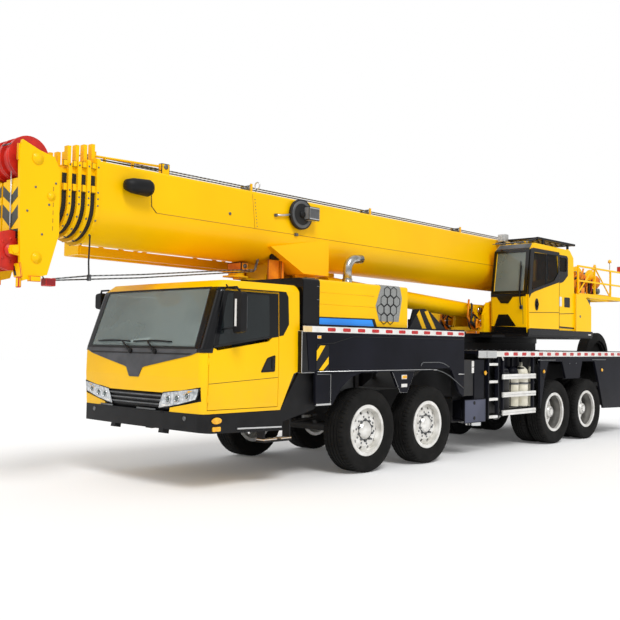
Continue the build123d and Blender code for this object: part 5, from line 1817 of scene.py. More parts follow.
class CRANE_OT_engine_cover_trim(bpy.types.Operator):
    """Trim the engine cover: dark end, honeycomb panels, blue band and exhaust"""

    bl_idname = "crane.engine_cover_trim"
    bl_label = "Engine cover"

    def execute(self, context):
        shell_form = Form("engine_cover_body")
        fold = [(1.255 + 0.045 * math.cos(math.pi * k / 12),
                 2.665 + 0.045 * math.sin(math.pi * k / 12))
                for k in range(7)]
        half = [(1.300, 2.057)] + fold
        mirrored = [(-y, z) for y, z in half][::-1]
        notch = [(0.190, 2.710), (0.190, 2.510), (-0.190, 2.510), (-0.190, 2.710)]
        shell_form.prism(half + notch + mirrored, 1.360, 2.990, 0, "yellow")
        shell_form.prism(half + mirrored, 2.990, 3.336, 0, "yellow")
        shell_form.prism(half + mirrored, 3.336, 3.665, 0, "gloss")
        shell_form.done("carrier", replaces=("engine_cover",))
        form = Form("engine_cover_trim")
        for side in (1, -1):
            skin = 1.300
            low, high = sorted((side * (skin - 0.010), side * (skin + 0.006)))
            form.prism([(3.660, 2.090), (3.338, 2.090), (3.338, 2.676), (3.660, 2.676)], low, high,
                       1, "gloss", 0.002)
            blue = [(3.336, 2.182), (2.215, 2.187), (2.172, 2.094), (3.336, 2.094)]
            form.prism(blue, low, high, 1, "blue")
            low, high = sorted((side * (skin - 0.010), side * (skin + 0.009)))
            form.prism([(3.336, 2.182), (2.215, 2.187), (2.208, 2.203), (3.336, 2.197)], low, high,
                       1, "seal")
            form.prism([(2.215, 2.187), (2.172, 2.094), (2.105, 2.094), (2.160, 2.203),
                        (2.208, 2.203)], low, high, 1,
                       "seal")
            vent = [(1.255 + r * math.cos(math.pi * k / 12), 2.665 + r * math.sin(math.pi * k / 12))
                    for r, ks in ((0.0495, range(7)), (0.042, range(6, -1, -1))) for k in ks]
            form.prism([(side * y, z) for y, z in vent], 1.545, 2.018, 0, "mesh_grey")
            panel = [(2.018, 2.666), (1.545, 2.666), (1.506, 2.527), (1.580, 2.178), (2.046, 2.174),
                     (2.132, 2.394)]
            low, high = sorted((side * (skin - 0.010), side * (skin + 0.004)))
            form.prism(panel, low, high, 1, "mesh_grey")
            for z in (2.533, 2.372):
                form.tube([(3.332, side * (skin + 0.001), z), (2.150, side * (skin + 0.001), z)],
                          0.0035, "yellow", 6)
            for z in (2.600, 2.420):
                form.box((3.345, side * 1.304, z), (3.400, side * 1.311, z + 0.012), "steel", 0.001,
                         1)
        form.box((3.640, -1.200, 2.704), (3.350, 1.200, 2.716), "gloss", 0.003)
        for side in (1, -1):
            form.box((3.540, side * 1.110, 2.708), (3.360, side * 1.240, 2.722), "steel", 0.004)
            form.box((2.030, side * 1.000, 2.706), (1.540, side * 1.230, 2.715), "steel", 0.004)
            for k in range(9):
                x = 2.010 - 0.055 * k
                form.box((x, side * 1.010, 2.713), (x - 0.018, side * 1.220, 2.720), "aluminium",
                         0.001, 1)
        for k in range(16):
            y = -1.125 + 0.150 * k
            form.box((3.664, y - 0.050, 2.200), (3.676, y + 0.050, 2.620), "gloss", 0.003, 1)
        form.done("carrier")
        cell = context.scene.crane_trim.mesh_cell * 2.6
        rib = Form("comb")
        corners = [math.pi / 6 + math.pi * k / 3 for k in range(6)]
        outer = [(cell * 0.985 * math.cos(a), cell * 0.985 * math.sin(a)) for a in corners]
        inner = [(cell * 0.880 * math.cos(a), cell * 0.880 * math.sin(a)) for a in corners]
        rib.ring_strip(outer, inner, 0.0, 0.006, 2, "seal")
        spots = []
        for side in (1, -1):
            for x, z in hexagons(1.480, 2.140, 2.215, 2.660, cell):
                reach = cell * 0.80
                left = 2.132 - 0.42 * abs(z - 2.394)
                right = 1.506 + (0.212 * (2.527 - z) if z < 2.527 else 0.300 * (z - 2.527))
                if right + reach < x < left - reach:
                    spots.append(((x, side * 1.303, z), (0, side, 0)))
        scatter("honeycomb", spots, rib, "seal", "carrier")
        pipe = Form("exhaust_pipe")
        path = [(1.985, 0.620, 2.700), (1.985, 0.620, 2.960)]
        for k in range(1, 8):
            angle = math.radians(84 * k / 7)
            path.append((1.985 - 0.185 * (1 - math.cos(angle)), 0.620,
                         2.960 + 0.185 * math.sin(angle)))
        path.append((1.660, 0.620, 3.158))
        pipe.tube(path, 0.068, "exhaust", 20)
        pipe.tube([(1.985, 0.620, 2.700), (1.985, 0.620, 2.830)], 0.078, "exhaust", 20)
        pipe.lathe([(1.658, 0.060), (1.650, 0.058), (1.650, 0.0), (1.658, 0.0)], (0, 0.620, 3.158),
                   0, "seal", 20)
        pipe.done("carrier")
        return {"FINISHED"}


# ---- Crane cab ----------------------------------------------------------------------------------
CRANE_SKIN = 1.312
CRANE_DOOR = 1.350


def crane_front(z):
    """How far forward the crane cab's front stands at a height."""
    levels = ((2.070, -2.235), (2.815, -2.205), (3.630, -2.335), (3.770, -2.500))
    for (z0, x0), (z1, x1) in zip(levels, levels[1:]):
        if z <= z1:
            return x0 + (x1 - x0) * (z - z0) / (z1 - z0)
    return levels[-1][1]


def crane_front_plate(form, outline, out, thick, finish_name):
    """A plate lying on the crane cab's front, from (y, z) points."""
    count = len(outline)
    verts = [(crane_front(z) + out, y, z) for y, z in outline]
    verts += [(crane_front(z) + out - thick, y, z) for y, z in outline]
    faces = [list(range(count)), list(range(2 * count - 1, count - 1, -1))]
    faces += [[i, count + i, count + (i + 1) % count, (i + 1) % count] for i in range(count)]
    _, new = form.close(verts, faces, finish_name)
    bmesh.ops.recalc_face_normals(form.mesh, faces=new)


def crane_front_frame(form, outer, inner, out, thick, finish_name):
    """A closed band on the crane cab's front between two (y, z) outlines of equal length."""
    count = len(outer)
    verts = []
    for shift in (out, out - thick):
        for outline in (outer, inner):
            verts += [(crane_front(z) + shift, y, z) for y, z in outline]
    faces = []
    for i in range(count):
        j = (i + 1) % count
        faces.append([i, j, count + j, count + i])
        faces.append([2 * count + i, 3 * count + i, 3 * count + j, 2 * count + j])
        faces.append([i, 2 * count + i, 2 * count + j, j])
        faces.append([count + i, count + j, 3 * count + j, 3 * count + i])
    _, new = form.close(verts, faces, finish_name)
    bmesh.ops.recalc_face_normals(form.mesh, faces=new)


def side_panel(form, outline, low, high, finish_name, soft=0.0):
    """A plate standing along the crane, from (x, z) points."""
    form.prism(outline, low, high, 1, finish_name, soft)


class CRANE_OT_crane_cab_glass(bpy.types.Operator):
    """Glaze the crane cab's front and give it its dark surround, notch and wiper"""

    bl_idname = "crane.crane_cab_glass"
    bl_label = "Crane cab windscreen"

    def execute(self, context):
        cab = Form("crane_cab_windscreen")
        crane_front_plate(cab, [(0.600, 2.816), (1.290, 2.816), (1.290, 3.628), (0.600, 3.628)],
                          -0.004, 0.006, "screen_glass")
        outer = [(0.577, 2.816), (1.311, 2.816), (1.311, 3.629), (0.577, 3.629)]
        inner = [(0.632, 2.866), (1.262, 2.866), (1.246, 3.588), (0.632, 3.588)]
        crane_front_frame(cab, outer, inner, 0.006, 0.012, "gloss")
        crane_front_plate(cab, [(0.577, 3.631), (1.311, 3.631), (1.290, 3.668), (0.590, 3.668)],
                          0.006, 0.010, "gloss")
        notch = [(0.577, 2.814), (0.577, 2.760), (0.700, 2.758), (0.785, 2.640), (0.945, 2.632),
                 (1.038, 2.752),
                 (1.311, 2.762), (1.311, 2.814)]
        crane_front_plate(cab, notch, 0.006, 0.010, "gloss")
        crane_front_plate(cab, [(0.735, 2.430), (0.935, 2.430), (1.095, 2.212), (0.640, 2.212)],
                          0.006, 0.010, "gloss")
        crane_front_plate(cab, [(0.577, 2.214), (1.311, 2.188), (1.311, 2.076), (0.577, 2.076)],
                          0.007, 0.012, "gloss")
        for y in (0.590, 1.240):
            crane_front_plate(cab, [(y, 2.245), (y + 0.006, 2.245), (y + 0.006, 2.740), (y, 2.740)],
                              0.002, 0.006,
                              "seal")
        pillar = [(crane_front(2.795) + 0.006, 2.795), (crane_front(3.629) + 0.006, 3.629),
                  (-2.405, 3.664),
                  (crane_front(3.629) - 0.040, 3.629), (crane_front(2.816) - 0.040, 2.795)]
        side_panel(cab, pillar, CRANE_SKIN - 0.010, CRANE_SKIN + 0.003, "gloss")
        wiper = [(crane_front(2.560) + 0.020, 1.222, 2.560),
                 (crane_front(2.640) + 0.028, 1.205, 2.650),
                 (crane_front(2.860) + 0.024, 1.192, 2.860),
                 (crane_front(3.330) + 0.022, 1.180, 3.330)]
        cab.tube(wiper, 0.012, "plastic", 8)
        cab.tube([(crane_front(2.800) + 0.012, 1.172, 2.800),
                  (crane_front(3.400) + 0.012, 1.160, 3.420)], 0.009,
                 "seal", 6)
        cab.box((crane_front(2.55) + 0.002, 1.190, 2.520),
                (crane_front(2.55) + 0.036, 1.250, 2.590), "plastic", 0.008)
        cab.done("superstructure")

        door = Form("crane_cab_door_trim")
        band = [(-2.262, 2.730), (-2.236, 2.812), (-2.352, 3.636), (-2.402, 3.664), (-3.400, 3.664),
                (-3.412, 3.640),
                (-3.412, 3.085), (-3.140, 3.022), (-2.480, 2.862), (-2.330, 2.812)]
        hole = [(-2.345, 2.884), (-2.340, 2.892), (-2.425, 3.568), (-2.445, 3.588), (-3.322, 3.594),
                (-3.340, 3.578),
                (-3.372, 3.262), (-3.190, 3.090), (-2.520, 2.930), (-2.362, 2.886)]
        door.ring_strip(band, hole, CRANE_DOOR - 0.006, CRANE_DOOR + 0.004, 1, "gloss")
        side_panel(door,
                   [(-2.330, 2.874), (-2.420, 3.585), (-3.332, 3.602), (-3.382, 3.240),
                    (-3.200, 3.070)],
                   CRANE_DOOR - 0.018, CRANE_DOOR - 0.010, "door_glass")
        for x in (-2.900, -2.960):
            door.box((x, CRANE_DOOR - 0.024, 2.980), (x - 0.018, CRANE_DOOR - 0.006, 3.596),
                     "gloss", 0.002)
        edge = [(-2.229, 2.795), (-2.349, 3.640), (-2.400, 3.668), (-2.420, 3.660), (-2.360, 3.628),
                (-2.240, 2.795)]
        side_panel(door, edge, CRANE_DOOR - 0.030, CRANE_DOOR + 0.0045, "gloss")
        oval = [(-2.530 + 0.066 * math.cos(2 * math.pi * k / 28),
                 2.620 + 0.112 * math.sin(2 * math.pi * k / 28))
                for k in range(28)]
        side_panel(door, oval, CRANE_DOOR - 0.004, CRANE_DOOR + 0.008, "gloss")
        door.tube([(-2.548, CRANE_DOOR + 0.008, 2.690), (-2.540, CRANE_DOOR + 0.032, 2.620),
                   (-2.532, CRANE_DOOR + 0.008, 2.550)], 0.012, "plastic", 8)
        door.tube([(-2.262, CRANE_DOOR + 0.001, 2.462), (-3.415, CRANE_DOOR + 0.001, 2.500)], 0.005,
                  "seal", 6)
        door.box((-2.264, CRANE_DOOR - 0.006, 2.160), (-3.418, CRANE_DOOR + 0.003, 2.176), "gloss",
                 0.002)
        door.box((-3.408, CRANE_DOOR - 0.006, 2.180), (-3.419, CRANE_DOOR + 0.003, 3.080), "seal",
                 0.001)
        door.done("crane_cab_door")

        side = Form("crane_cab_side_trim")
        rear_band = [(-3.425, 3.630), (-3.790, 3.630), (-3.840, 3.590), (-3.840, 3.240),
                     (-3.640, 3.105),
                     (-3.425, 3.060)]
        rear_hole = [(-3.478, 3.584), (-3.755, 3.584), (-3.785, 3.560), (-3.785, 3.330),
                     (-3.700, 3.308),
                     (-3.478, 3.306)]
        side.ring_strip(rear_band, rear_hole, CRANE_SKIN - 0.006, CRANE_SKIN + 0.003, 1, "gloss")
        side_panel(side, [(-3.470, 3.590), (-3.790, 3.590), (-3.790, 3.302), (-3.470, 3.302)],
                   CRANE_SKIN - 0.020,
                   CRANE_SKIN - 0.010, "door_glass")
        side_panel(side, [(-3.842, 3.615), (-4.030, 3.600), (-4.040, 3.270), (-3.842, 3.270)],
                   CRANE_SKIN - 0.030,
                   CRANE_SKIN + 0.002, "yellow")
        side_panel(side,
                   rounded([(-3.695, 2.812), (-3.925, 2.812), (-3.925, 2.618), (-3.695, 2.618)],
                           0.02, 3),
                   CRANE_SKIN - 0.004, CRANE_SKIN + 0.004, "gloss")
        side_panel(side,
                   rounded([(-3.480, 2.812), (-3.590, 2.812), (-3.590, 2.628), (-3.480, 2.628)],
                           0.012, 3),
                   CRANE_SKIN - 0.004, CRANE_SKIN + 0.002, "white")
        side.lathe([(CRANE_DOOR - 0.002, 0.028), (CRANE_DOOR + 0.006, 0.024),
                    (CRANE_DOOR + 0.006, 0.0)],
                   (-4.300, 0, 2.455), 1, "steel", 16)
        side_panel(side, [(-3.425, 2.470), (-4.100, 2.500), (-4.100, 2.512), (-3.425, 2.482)],
                   CRANE_SKIN - 0.002,
                   CRANE_SKIN + 0.002, "seal")
        side_panel(side, [(-3.425, 2.208), (-4.100, 2.196), (-4.100, 2.226), (-3.425, 2.240)],
                   CRANE_SKIN - 0.004,
                   CRANE_SKIN + 0.004, "gloss")
        side_panel(side, [(-4.112, 2.160), (-4.122, 2.160), (-4.122, 2.900), (-4.112, 2.902)],
                   CRANE_DOOR - 0.004,
                   CRANE_DOOR + 0.001, "seal")
        side.done("superstructure")
        return {"FINISHED"}


class CRANE_OT_crane_cab_roof(bpy.types.Operator):
    """Fit the roof guard's bars, the roof lamp box and the brow"""

    bl_idname = "crane.crane_cab_roof"
    bl_label = "Crane cab roof"

    def execute(self, context):
        roof = Form("crane_cab_roof_trim")
        roof.box((-2.560, 0.500, 3.842), (-2.700, 0.660, 3.992), "aluminium", 0.012)
        roof.box((-2.552, 0.515, 3.862), (-2.560, 0.645, 3.972), "lens", 0.004)
        roof.box((-2.590, 0.540, 3.762), (-2.670, 0.620, 3.850), "plastic", 0.004)
        crane_front_plate(roof, [(0.585, 3.672), (1.300, 3.672), (1.270, 3.764), (0.600, 3.764)],
                          0.006, 0.010,
                          "steel")
        for k in range(6):
            y = 0.700 + 0.105 * k
            roof.box((-2.700, y - 0.010, 3.868), (-4.185, y + 0.010, 3.892), "gloss", 0.003)
        roof.box((-2.232, 0.590, 3.752), (-2.292, 1.300, 3.772), "gloss", 0.004)
        roof.done("superstructure")
        return {"FINISHED"}


class CRANE_OT_slew_base(bpy.types.Operator):
    """Fit the slewing base: dark skirt band, a small white plate and ring bolts"""

    bl_idname = "crane.slew_base"
    bl_label = "Slewing base"

    def execute(self, context):
        base = Form("slewing_base_band")
        base.box((-2.232, 1.340, 2.060), (-4.850, 1.356, 2.158), "gloss", 0.004)
        base.box((-4.640, 1.352, 2.078), (-4.770, 1.360, 2.108), "white", 0.003)
        base.done("superstructure")
        spots = []
        for k in range(48):
            angle = 2 * math.pi * k / 48
            spots.append(((-3.300 + 0.855 * math.cos(angle), 0.855 * math.sin(angle), 1.748),
                          (0, 0, 1)))
        scatter("ring_bolts", spots, hexagon_nut(0.036, 0.024), "steel", "carrier")
        return {"FINISHED"}


# ---- Boom ---------------------------------------------------------------------------------------
BOOM_SKIN = 0.450
BOOM_LEAN = 0.006
BOOM_PIVOT = (-4.825, 3.200)
SECTION_STEP = 0.034
COLLAR_FRONT = 6.325
COLLAR_PITCH = 0.105
TELESCOPE = ("boom_base", "boom_second", "boom_third", "boom_fourth", "boom_head")


def boom_outline(x, inset, top=3.700, steps=20):
    """Half-oval belly and upright sides up to a height, as (y, z) points of the parked boom."""
    half = BOOM_SKIN - inset
    depth = 0.442 - inset
    lift = (x - BOOM_PIVOT[0]) * BOOM_LEAN
    points = [(half, top + lift)]
    for k in range(steps + 1):
        angle = math.pi * k / steps
        points.append((half * math.cos(angle), 3.372 + lift - depth * math.sin(angle)))
    points.append((-half, top + lift))
    return points


def belly_strip(form, x0, x1, outer, inner, finish_name, top=3.700):
    """A band under the boom between two insets."""
    out_points = boom_outline(x0, outer, top)
    in_points = boom_outline(x0, inner, top)
    outline = out_points + in_points[::-1]
    count = len(out_points)
    verts = [(x0, y, z) for y, z in outline] + [(x1, y, z) for y, z in outline]
    total = len(outline)
    faces = []
    for i in range(count - 1):
        j = total - 1 - i
        faces.append([i, i + 1, j - 1, j])
        faces.append([total + j, total + j - 1, total + i + 1, total + i])
    faces += [[i, total + i, total + (i + 1) % total, (i + 1) % total] for i in range(total)]
    _, new = form.close(verts, faces, finish_name)
    bmesh.ops.recalc_face_normals(form.mesh, faces=new)


def bolt_head(form, x, y, z, side, radius=0.012, finish_name="steel"):
    """A small bolt head on a side wall."""
    form.lathe([(y - side * 0.003, radius), (y + side * 0.006, radius * 0.9),
                (y + side * 0.008, 0.0)], (x, 0, z), 1,
               finish_name, 10)


class CRANE_OT_boom_fittings(bpy.types.Operator):
    """Fit the boom's long seam, lamp, hose reel, guide bar, pole mirror and joint"""

    bl_idname = "crane.boom_fittings"
    bl_label = "Boom fittings"

    def execute(self, context):
        form = Form("boom_fittings")
        for side in (1, -1):
            skin = side * BOOM_SKIN
            form.tube([(5.530, skin, 3.697), (5.520, skin, 3.511), (5.446, skin, 3.436)], 0.006,
                      "seal", 6)
            # Darker bead along the boom's fold line: painted shade of the crease.
            form.tube([(5.446, skin, 3.434), (-4.300, skin, 3.376)], 0.0045, "weld", 6)
            form.tube([(3.823, skin, 3.900), (3.766, skin, 3.425)], 0.004, "weld", 6)
            for k in range(9):
                z = 3.460 + 0.046 * k
                bolt_head(form, 3.720 + (z - 3.425) * 0.136, skin, z, side, 0.007)
            bolt_head(form, 4.229, skin, 3.575, side, 0.024)
        lamp = [(5.610, 0.0), (5.612, 0.088), (5.650, 0.106), (5.880, 0.092), (5.970, 0.064),
                (5.990, 0.0)]
        form.lathe(lamp, (0, 0.548, 3.706), 0, "plastic", 24)
        form.box((5.720, 0.442, 3.680), (5.800, 0.480, 3.735), "steel", 0.004)
        form.lathe([(0.470, 0.0), (0.470, 0.196), (0.480, 0.210), (0.520, 0.210), (0.530, 0.196),
                    (0.530, 0.160),
                    (0.520, 0.154), (0.520, 0.0)], (2.900, 0, 3.718), 1, "steel", 36)
        form.lathe([(0.474, 0.208), (0.474, 0.222), (0.526, 0.222), (0.526, 0.208)],
                   (2.900, 0, 3.718), 1, "seal", 36)
        form.lathe([(0.518, 0.0), (0.518, 0.052), (0.550, 0.046), (0.550, 0.0)], (2.900, 0, 3.718),
                   1, "plastic", 18)
        form.box((2.620, 0.490, 3.640), (2.850, 0.620, 3.840), "aluminium", 0.012)
        form.box((2.640, 0.616, 3.670), (2.830, 0.624, 3.810), "steel", 0.002)
        form.tube([(3.390, 0.470, 3.655), (3.250, 0.478, 3.668), (3.060, 0.490, 3.700)], 0.016,
                  "aluminium", 10)
        form.box((3.400, 0.442, 3.635), (3.360, 0.490, 3.675), "steel", 0.004)
        form.box((2.985, 0.442, 3.400), (2.925, 0.480, 3.440), "steel", 0.004)
        form.box((2.990, 0.442, 3.690), (2.820, 0.486, 3.740), "steel", 0.004)
        form.tube([(6.300, 0.300, 4.034), (5.200, 0.300, 4.070)], 0.014, "yellow", 10)
        form.tube([(6.300, 0.330, 3.995), (5.300, 0.330, 4.012)], 0.007, "seal", 6)
        form.box((5.165, 0.262, 3.945), (5.295, 0.338, 4.108), "yellow", 0.010)
        form.lathe([(0.256, 0.034), (0.346, 0.034), (0.346, 0.0)], (5.230, 0, 4.066), 1, "steel",
                   16)
        for x in (5.700, 6.100):
            form.box((x, 0.284, 3.945), (x + 0.030, 0.316, 4.040), "yellow", 0.004)
        form.tube([(3.746, 0.400, 3.900), (3.700, 0.400, 3.992)], 0.008, "steel", 8)
        ring = [(3.687, 0.400 + 0.048 * math.cos(2 * math.pi * k / 18),
                 4.040 + 0.048 * math.sin(2 * math.pi * k / 18))
                for k in range(18)]
        form.tube(ring, 0.009, "aluminium", 8, closed=True)
        form.done("boom_base")

        ropes = Form("winch_ropes")
        for y in (-0.060, 0.060):
            ropes.tube([(-4.900, y, 4.030), (6.300, y, 4.097)], 0.010, "rope", 8)
        for x in (-4.600, -1.900, 0.800, 3.500, 6.100):
            foot = 3.893 + 0.006 * (x + 4.825)
            ropes.box((x, -0.120, foot), (x + 0.060, 0.120, foot + 0.040), "yellow", 0.004)
            for y in (-0.110, 0.090):
                ropes.box((x + 0.010, y, foot + 0.030), (x + 0.050, y + 0.020, foot + 0.185),
                          "yellow", 0.003)
            ropes.lathe([(-0.092, 0.030), (0.092, 0.030)], (x + 0.030, 0, foot + 0.115), 1, "steel",
                        16)
            ropes.tube([(x + 0.030, -0.108, foot + 0.160), (x + 0.030, 0.108, foot + 0.160)], 0.010,
                       "steel", 8)
        ropes.done("boom_base")

        under = Form("hook_ropes")
        for y, lift in ((0.285, 0.0), (0.315, 0.040)):
            under.tube([(6.285, y, 2.555 + lift), (5.564, y, 2.620 + lift),
                        (4.018, y, 2.797 + 0.8 * lift),
                        (3.620, y, 2.840 + 0.5 * lift), (3.560, y, 3.020)], 0.0085, "rope", 8)
        under.tube([(6.290, 0.300, 3.080), (6.300, 0.300, 2.760), (6.290, 0.300, 2.545)], 0.010,
                   "seal", 8)
        under.box((6.275, 0.270, 2.535), (6.305, 0.330, 2.610), "steel", 0.006)
        under.done("boom_base")
        return {"FINISHED"}


class CRANE_OT_collar_details(bpy.types.Operator):
    """Fit dark bands of painted shade in the gaps, wear pads and adjusting bolts between the boom's
    collars
    """

    bl_idname = "crane.collar_details"
    bl_label = "Boom collars"

    def execute(self, context):
        for rank in range(4):
            front = COLLAR_FRONT + rank * COLLAR_PITCH
            inset = SECTION_STEP * (rank + 1)
            form = Form(f"boom_collar_{rank + 1}")
            # Dark band in each gap behind a collar: painted shade of the gap's depth.
            belly_strip(form, front - 0.004, front + 0.050, inset - 0.014, inset - 0.003, "seal",
                        3.700)
            rise = (front - BOOM_PIVOT[0]) * BOOM_LEAN
            proud = BOOM_SKIN + 0.022 - SECTION_STEP * rank
            for side in (1, -1):
                skin = side * (BOOM_SKIN - inset + 0.004)
                outer = side * (proud - 0.020)
                for z0, z1 in ((3.495, 3.580), (3.780, 3.850)):
                    form.box((front - 0.004, skin, z0 + rise), (front + 0.052, outer, z1 + rise),
                             "yellow", 0.004, 1)
                face = side * proud
                for z in (3.500, 3.425, 3.345, 3.800):
                    bolt_head(form, front - 0.022, face, z + rise, side, 0.011)
                for step in (25, 50, 75):
                    angle = math.radians(step)
                    y = side * (proud - 0.002) * math.cos(angle)
                    z = 3.372 + rise - (proud - 0.010) * math.sin(angle)
                    form.tube([(front - 0.022, y, z + 0.004),
                               (front - 0.022, y * 1.012, z - 0.012)], 0.011, "steel", 8)
            form.done(TELESCOPE[rank])
        return {"FINISHED"}


class CRANE_OT_boom_head(bpy.types.Operator):
    """Dress the boom head: sheave drums, warning chevrons, pins, rope guards and bracket"""

    bl_idname = "crane.boom_head"
    bl_label = "Boom head"

    def execute(self, context):
        form = Form("boom_head_fittings")
        for centre, radius in (((7.110, 3.868), 0.205), ((7.303, 2.808), 0.186)):
            x, z = centre
            form.lathe([(-0.330, 0.0), (-0.330, radius), (0.330, radius), (0.330, 0.0)], (x, 0, z),
                       1, "red", 40)
            for y in (-0.345, 0.345):
                form.lathe([(y - 0.010, 0.0), (y - 0.010, radius * 0.42),
                            (y + 0.010, radius * 0.42), (y + 0.010, 0.0)],
                           (x, 0, z), 1, "red", 24)
            for k in range(8):
                angle = 2 * math.pi * k / 8
                for side in (1, -1):
                    form.lathe([(side * 0.328, 0.014), (side * 0.340, 0.012), (side * 0.340, 0.0)],
                               (x + radius * 0.68 * math.cos(angle), 0,
                                z + radius * 0.68 * math.sin(angle)), 1, "red",
                               10)
        for side in (1, -1):
            skin = side * 0.450
            for x, z, radius in ((7.070, 3.850, 0.070), (7.056, 2.738, 0.062),
                                 (6.893, 3.446, 0.048)):
                form.lathe([(skin, radius), (skin + side * 0.012, radius * 0.96),
                            (skin + side * 0.012, radius * 0.62),
                            (skin + side * 0.020, radius * 0.56), (skin + side * 0.020, 0.0)],
                            (x, 0, z), 1, "yellow",
                           28)
            for x, z in ((6.918, 3.348), (7.087, 3.526), (6.840, 3.600), (6.997, 3.006),
                         (7.180, 3.250)):
                bolt_head(form, x, skin, z, side, 0.014)
            for k in range(6):
                # Darker marks down the head's seam: painted shade along the seam.
                form.box((6.862, side * 0.448, 3.060 + 0.090 * k),
                         (6.872, side * 0.452, 3.110 + 0.090 * k), "weld")
        face = 7.246
        for side in (1, -1):
            plate = [(side * 0.020, 3.052), (side * 0.448, 3.052), (side * 0.448, 3.600),
                     (side * 0.020, 3.600)]
            form.prism(plate, face - 0.020, face + 0.003, 0, "yellow")
            middle = side * 0.225
            for top_out, low_out, low_in, top_in in ((3.562, 3.446, 3.333, 3.439),
                                                     (3.352, 3.205, 3.066, 3.222)):
                for way in (1, -1):
                    bar = [(middle + way * 0.004, top_in), (middle + way * 0.204, top_out),
                           (middle + way * 0.204, low_out), (middle + way * 0.004, low_in)]
                    form.prism(bar, face, face + 0.007, 0, "mesh_dark")
            form.prism([(middle - 0.200, 2.945), (middle + 0.200, 2.945), (middle + 0.200, 3.050),
                        (middle - 0.200, 3.050)], face - 0.050, face + 0.004, 0, "gloss")
            form.tube([(7.262, side * 0.225, 3.850), (7.262, side * 0.225, 2.900)], 0.008,
                      "aluminium", 8)
        form.tube([(7.240, 0.300, 4.028), (7.416, 0.300, 3.952)], 0.008, "rope", 8)
        for side in (1, -1):
            form.box((7.220, side * 0.405, 3.800), (7.300, side * 0.430, 3.990), "yellow", 0.006)
            form.tube([(7.285, side * 0.020, 2.820), (7.290, side * 0.440, 2.832)], 0.013, "yellow",
                      8)
            form.box((7.020, side * 0.430, 2.470), (7.150, side * 0.500, 2.530), "yellow", 0.006)
        form.box((6.755, 0.240, 2.440), (6.880, 0.360, 2.530), "dark_red", 0.010)
        for y, lift in ((0.285, 0.0), (0.315, 0.040)):
            form.tube([(6.780, y, 2.510 + 0.4 * lift), (6.310, y, 2.553 + lift)], 0.0085, "rope", 8)
        form.tube([(6.960, 0.300, 2.640), (6.900, 0.300, 2.560), (6.860, 0.300, 2.500)], 0.0085,
                  "rope", 8)
        bracket = [(0.240, 2.670), (0.455, 2.670), (0.500, 2.510), (0.330, 2.510)]
        form.prism(bracket, 7.236, 7.256, 0, "yellow", 0.006)
        form.prism([(0.300, 2.640), (0.345, 2.640), (0.395, 2.530), (0.350, 2.530)], 7.234, 7.259,
                   0, "gloss")
        form.box((7.225, 0.380, 2.396), (7.262, 0.455, 2.515), "yellow", 0.012)
        form.done("boom_head")
        return {"FINISHED"}


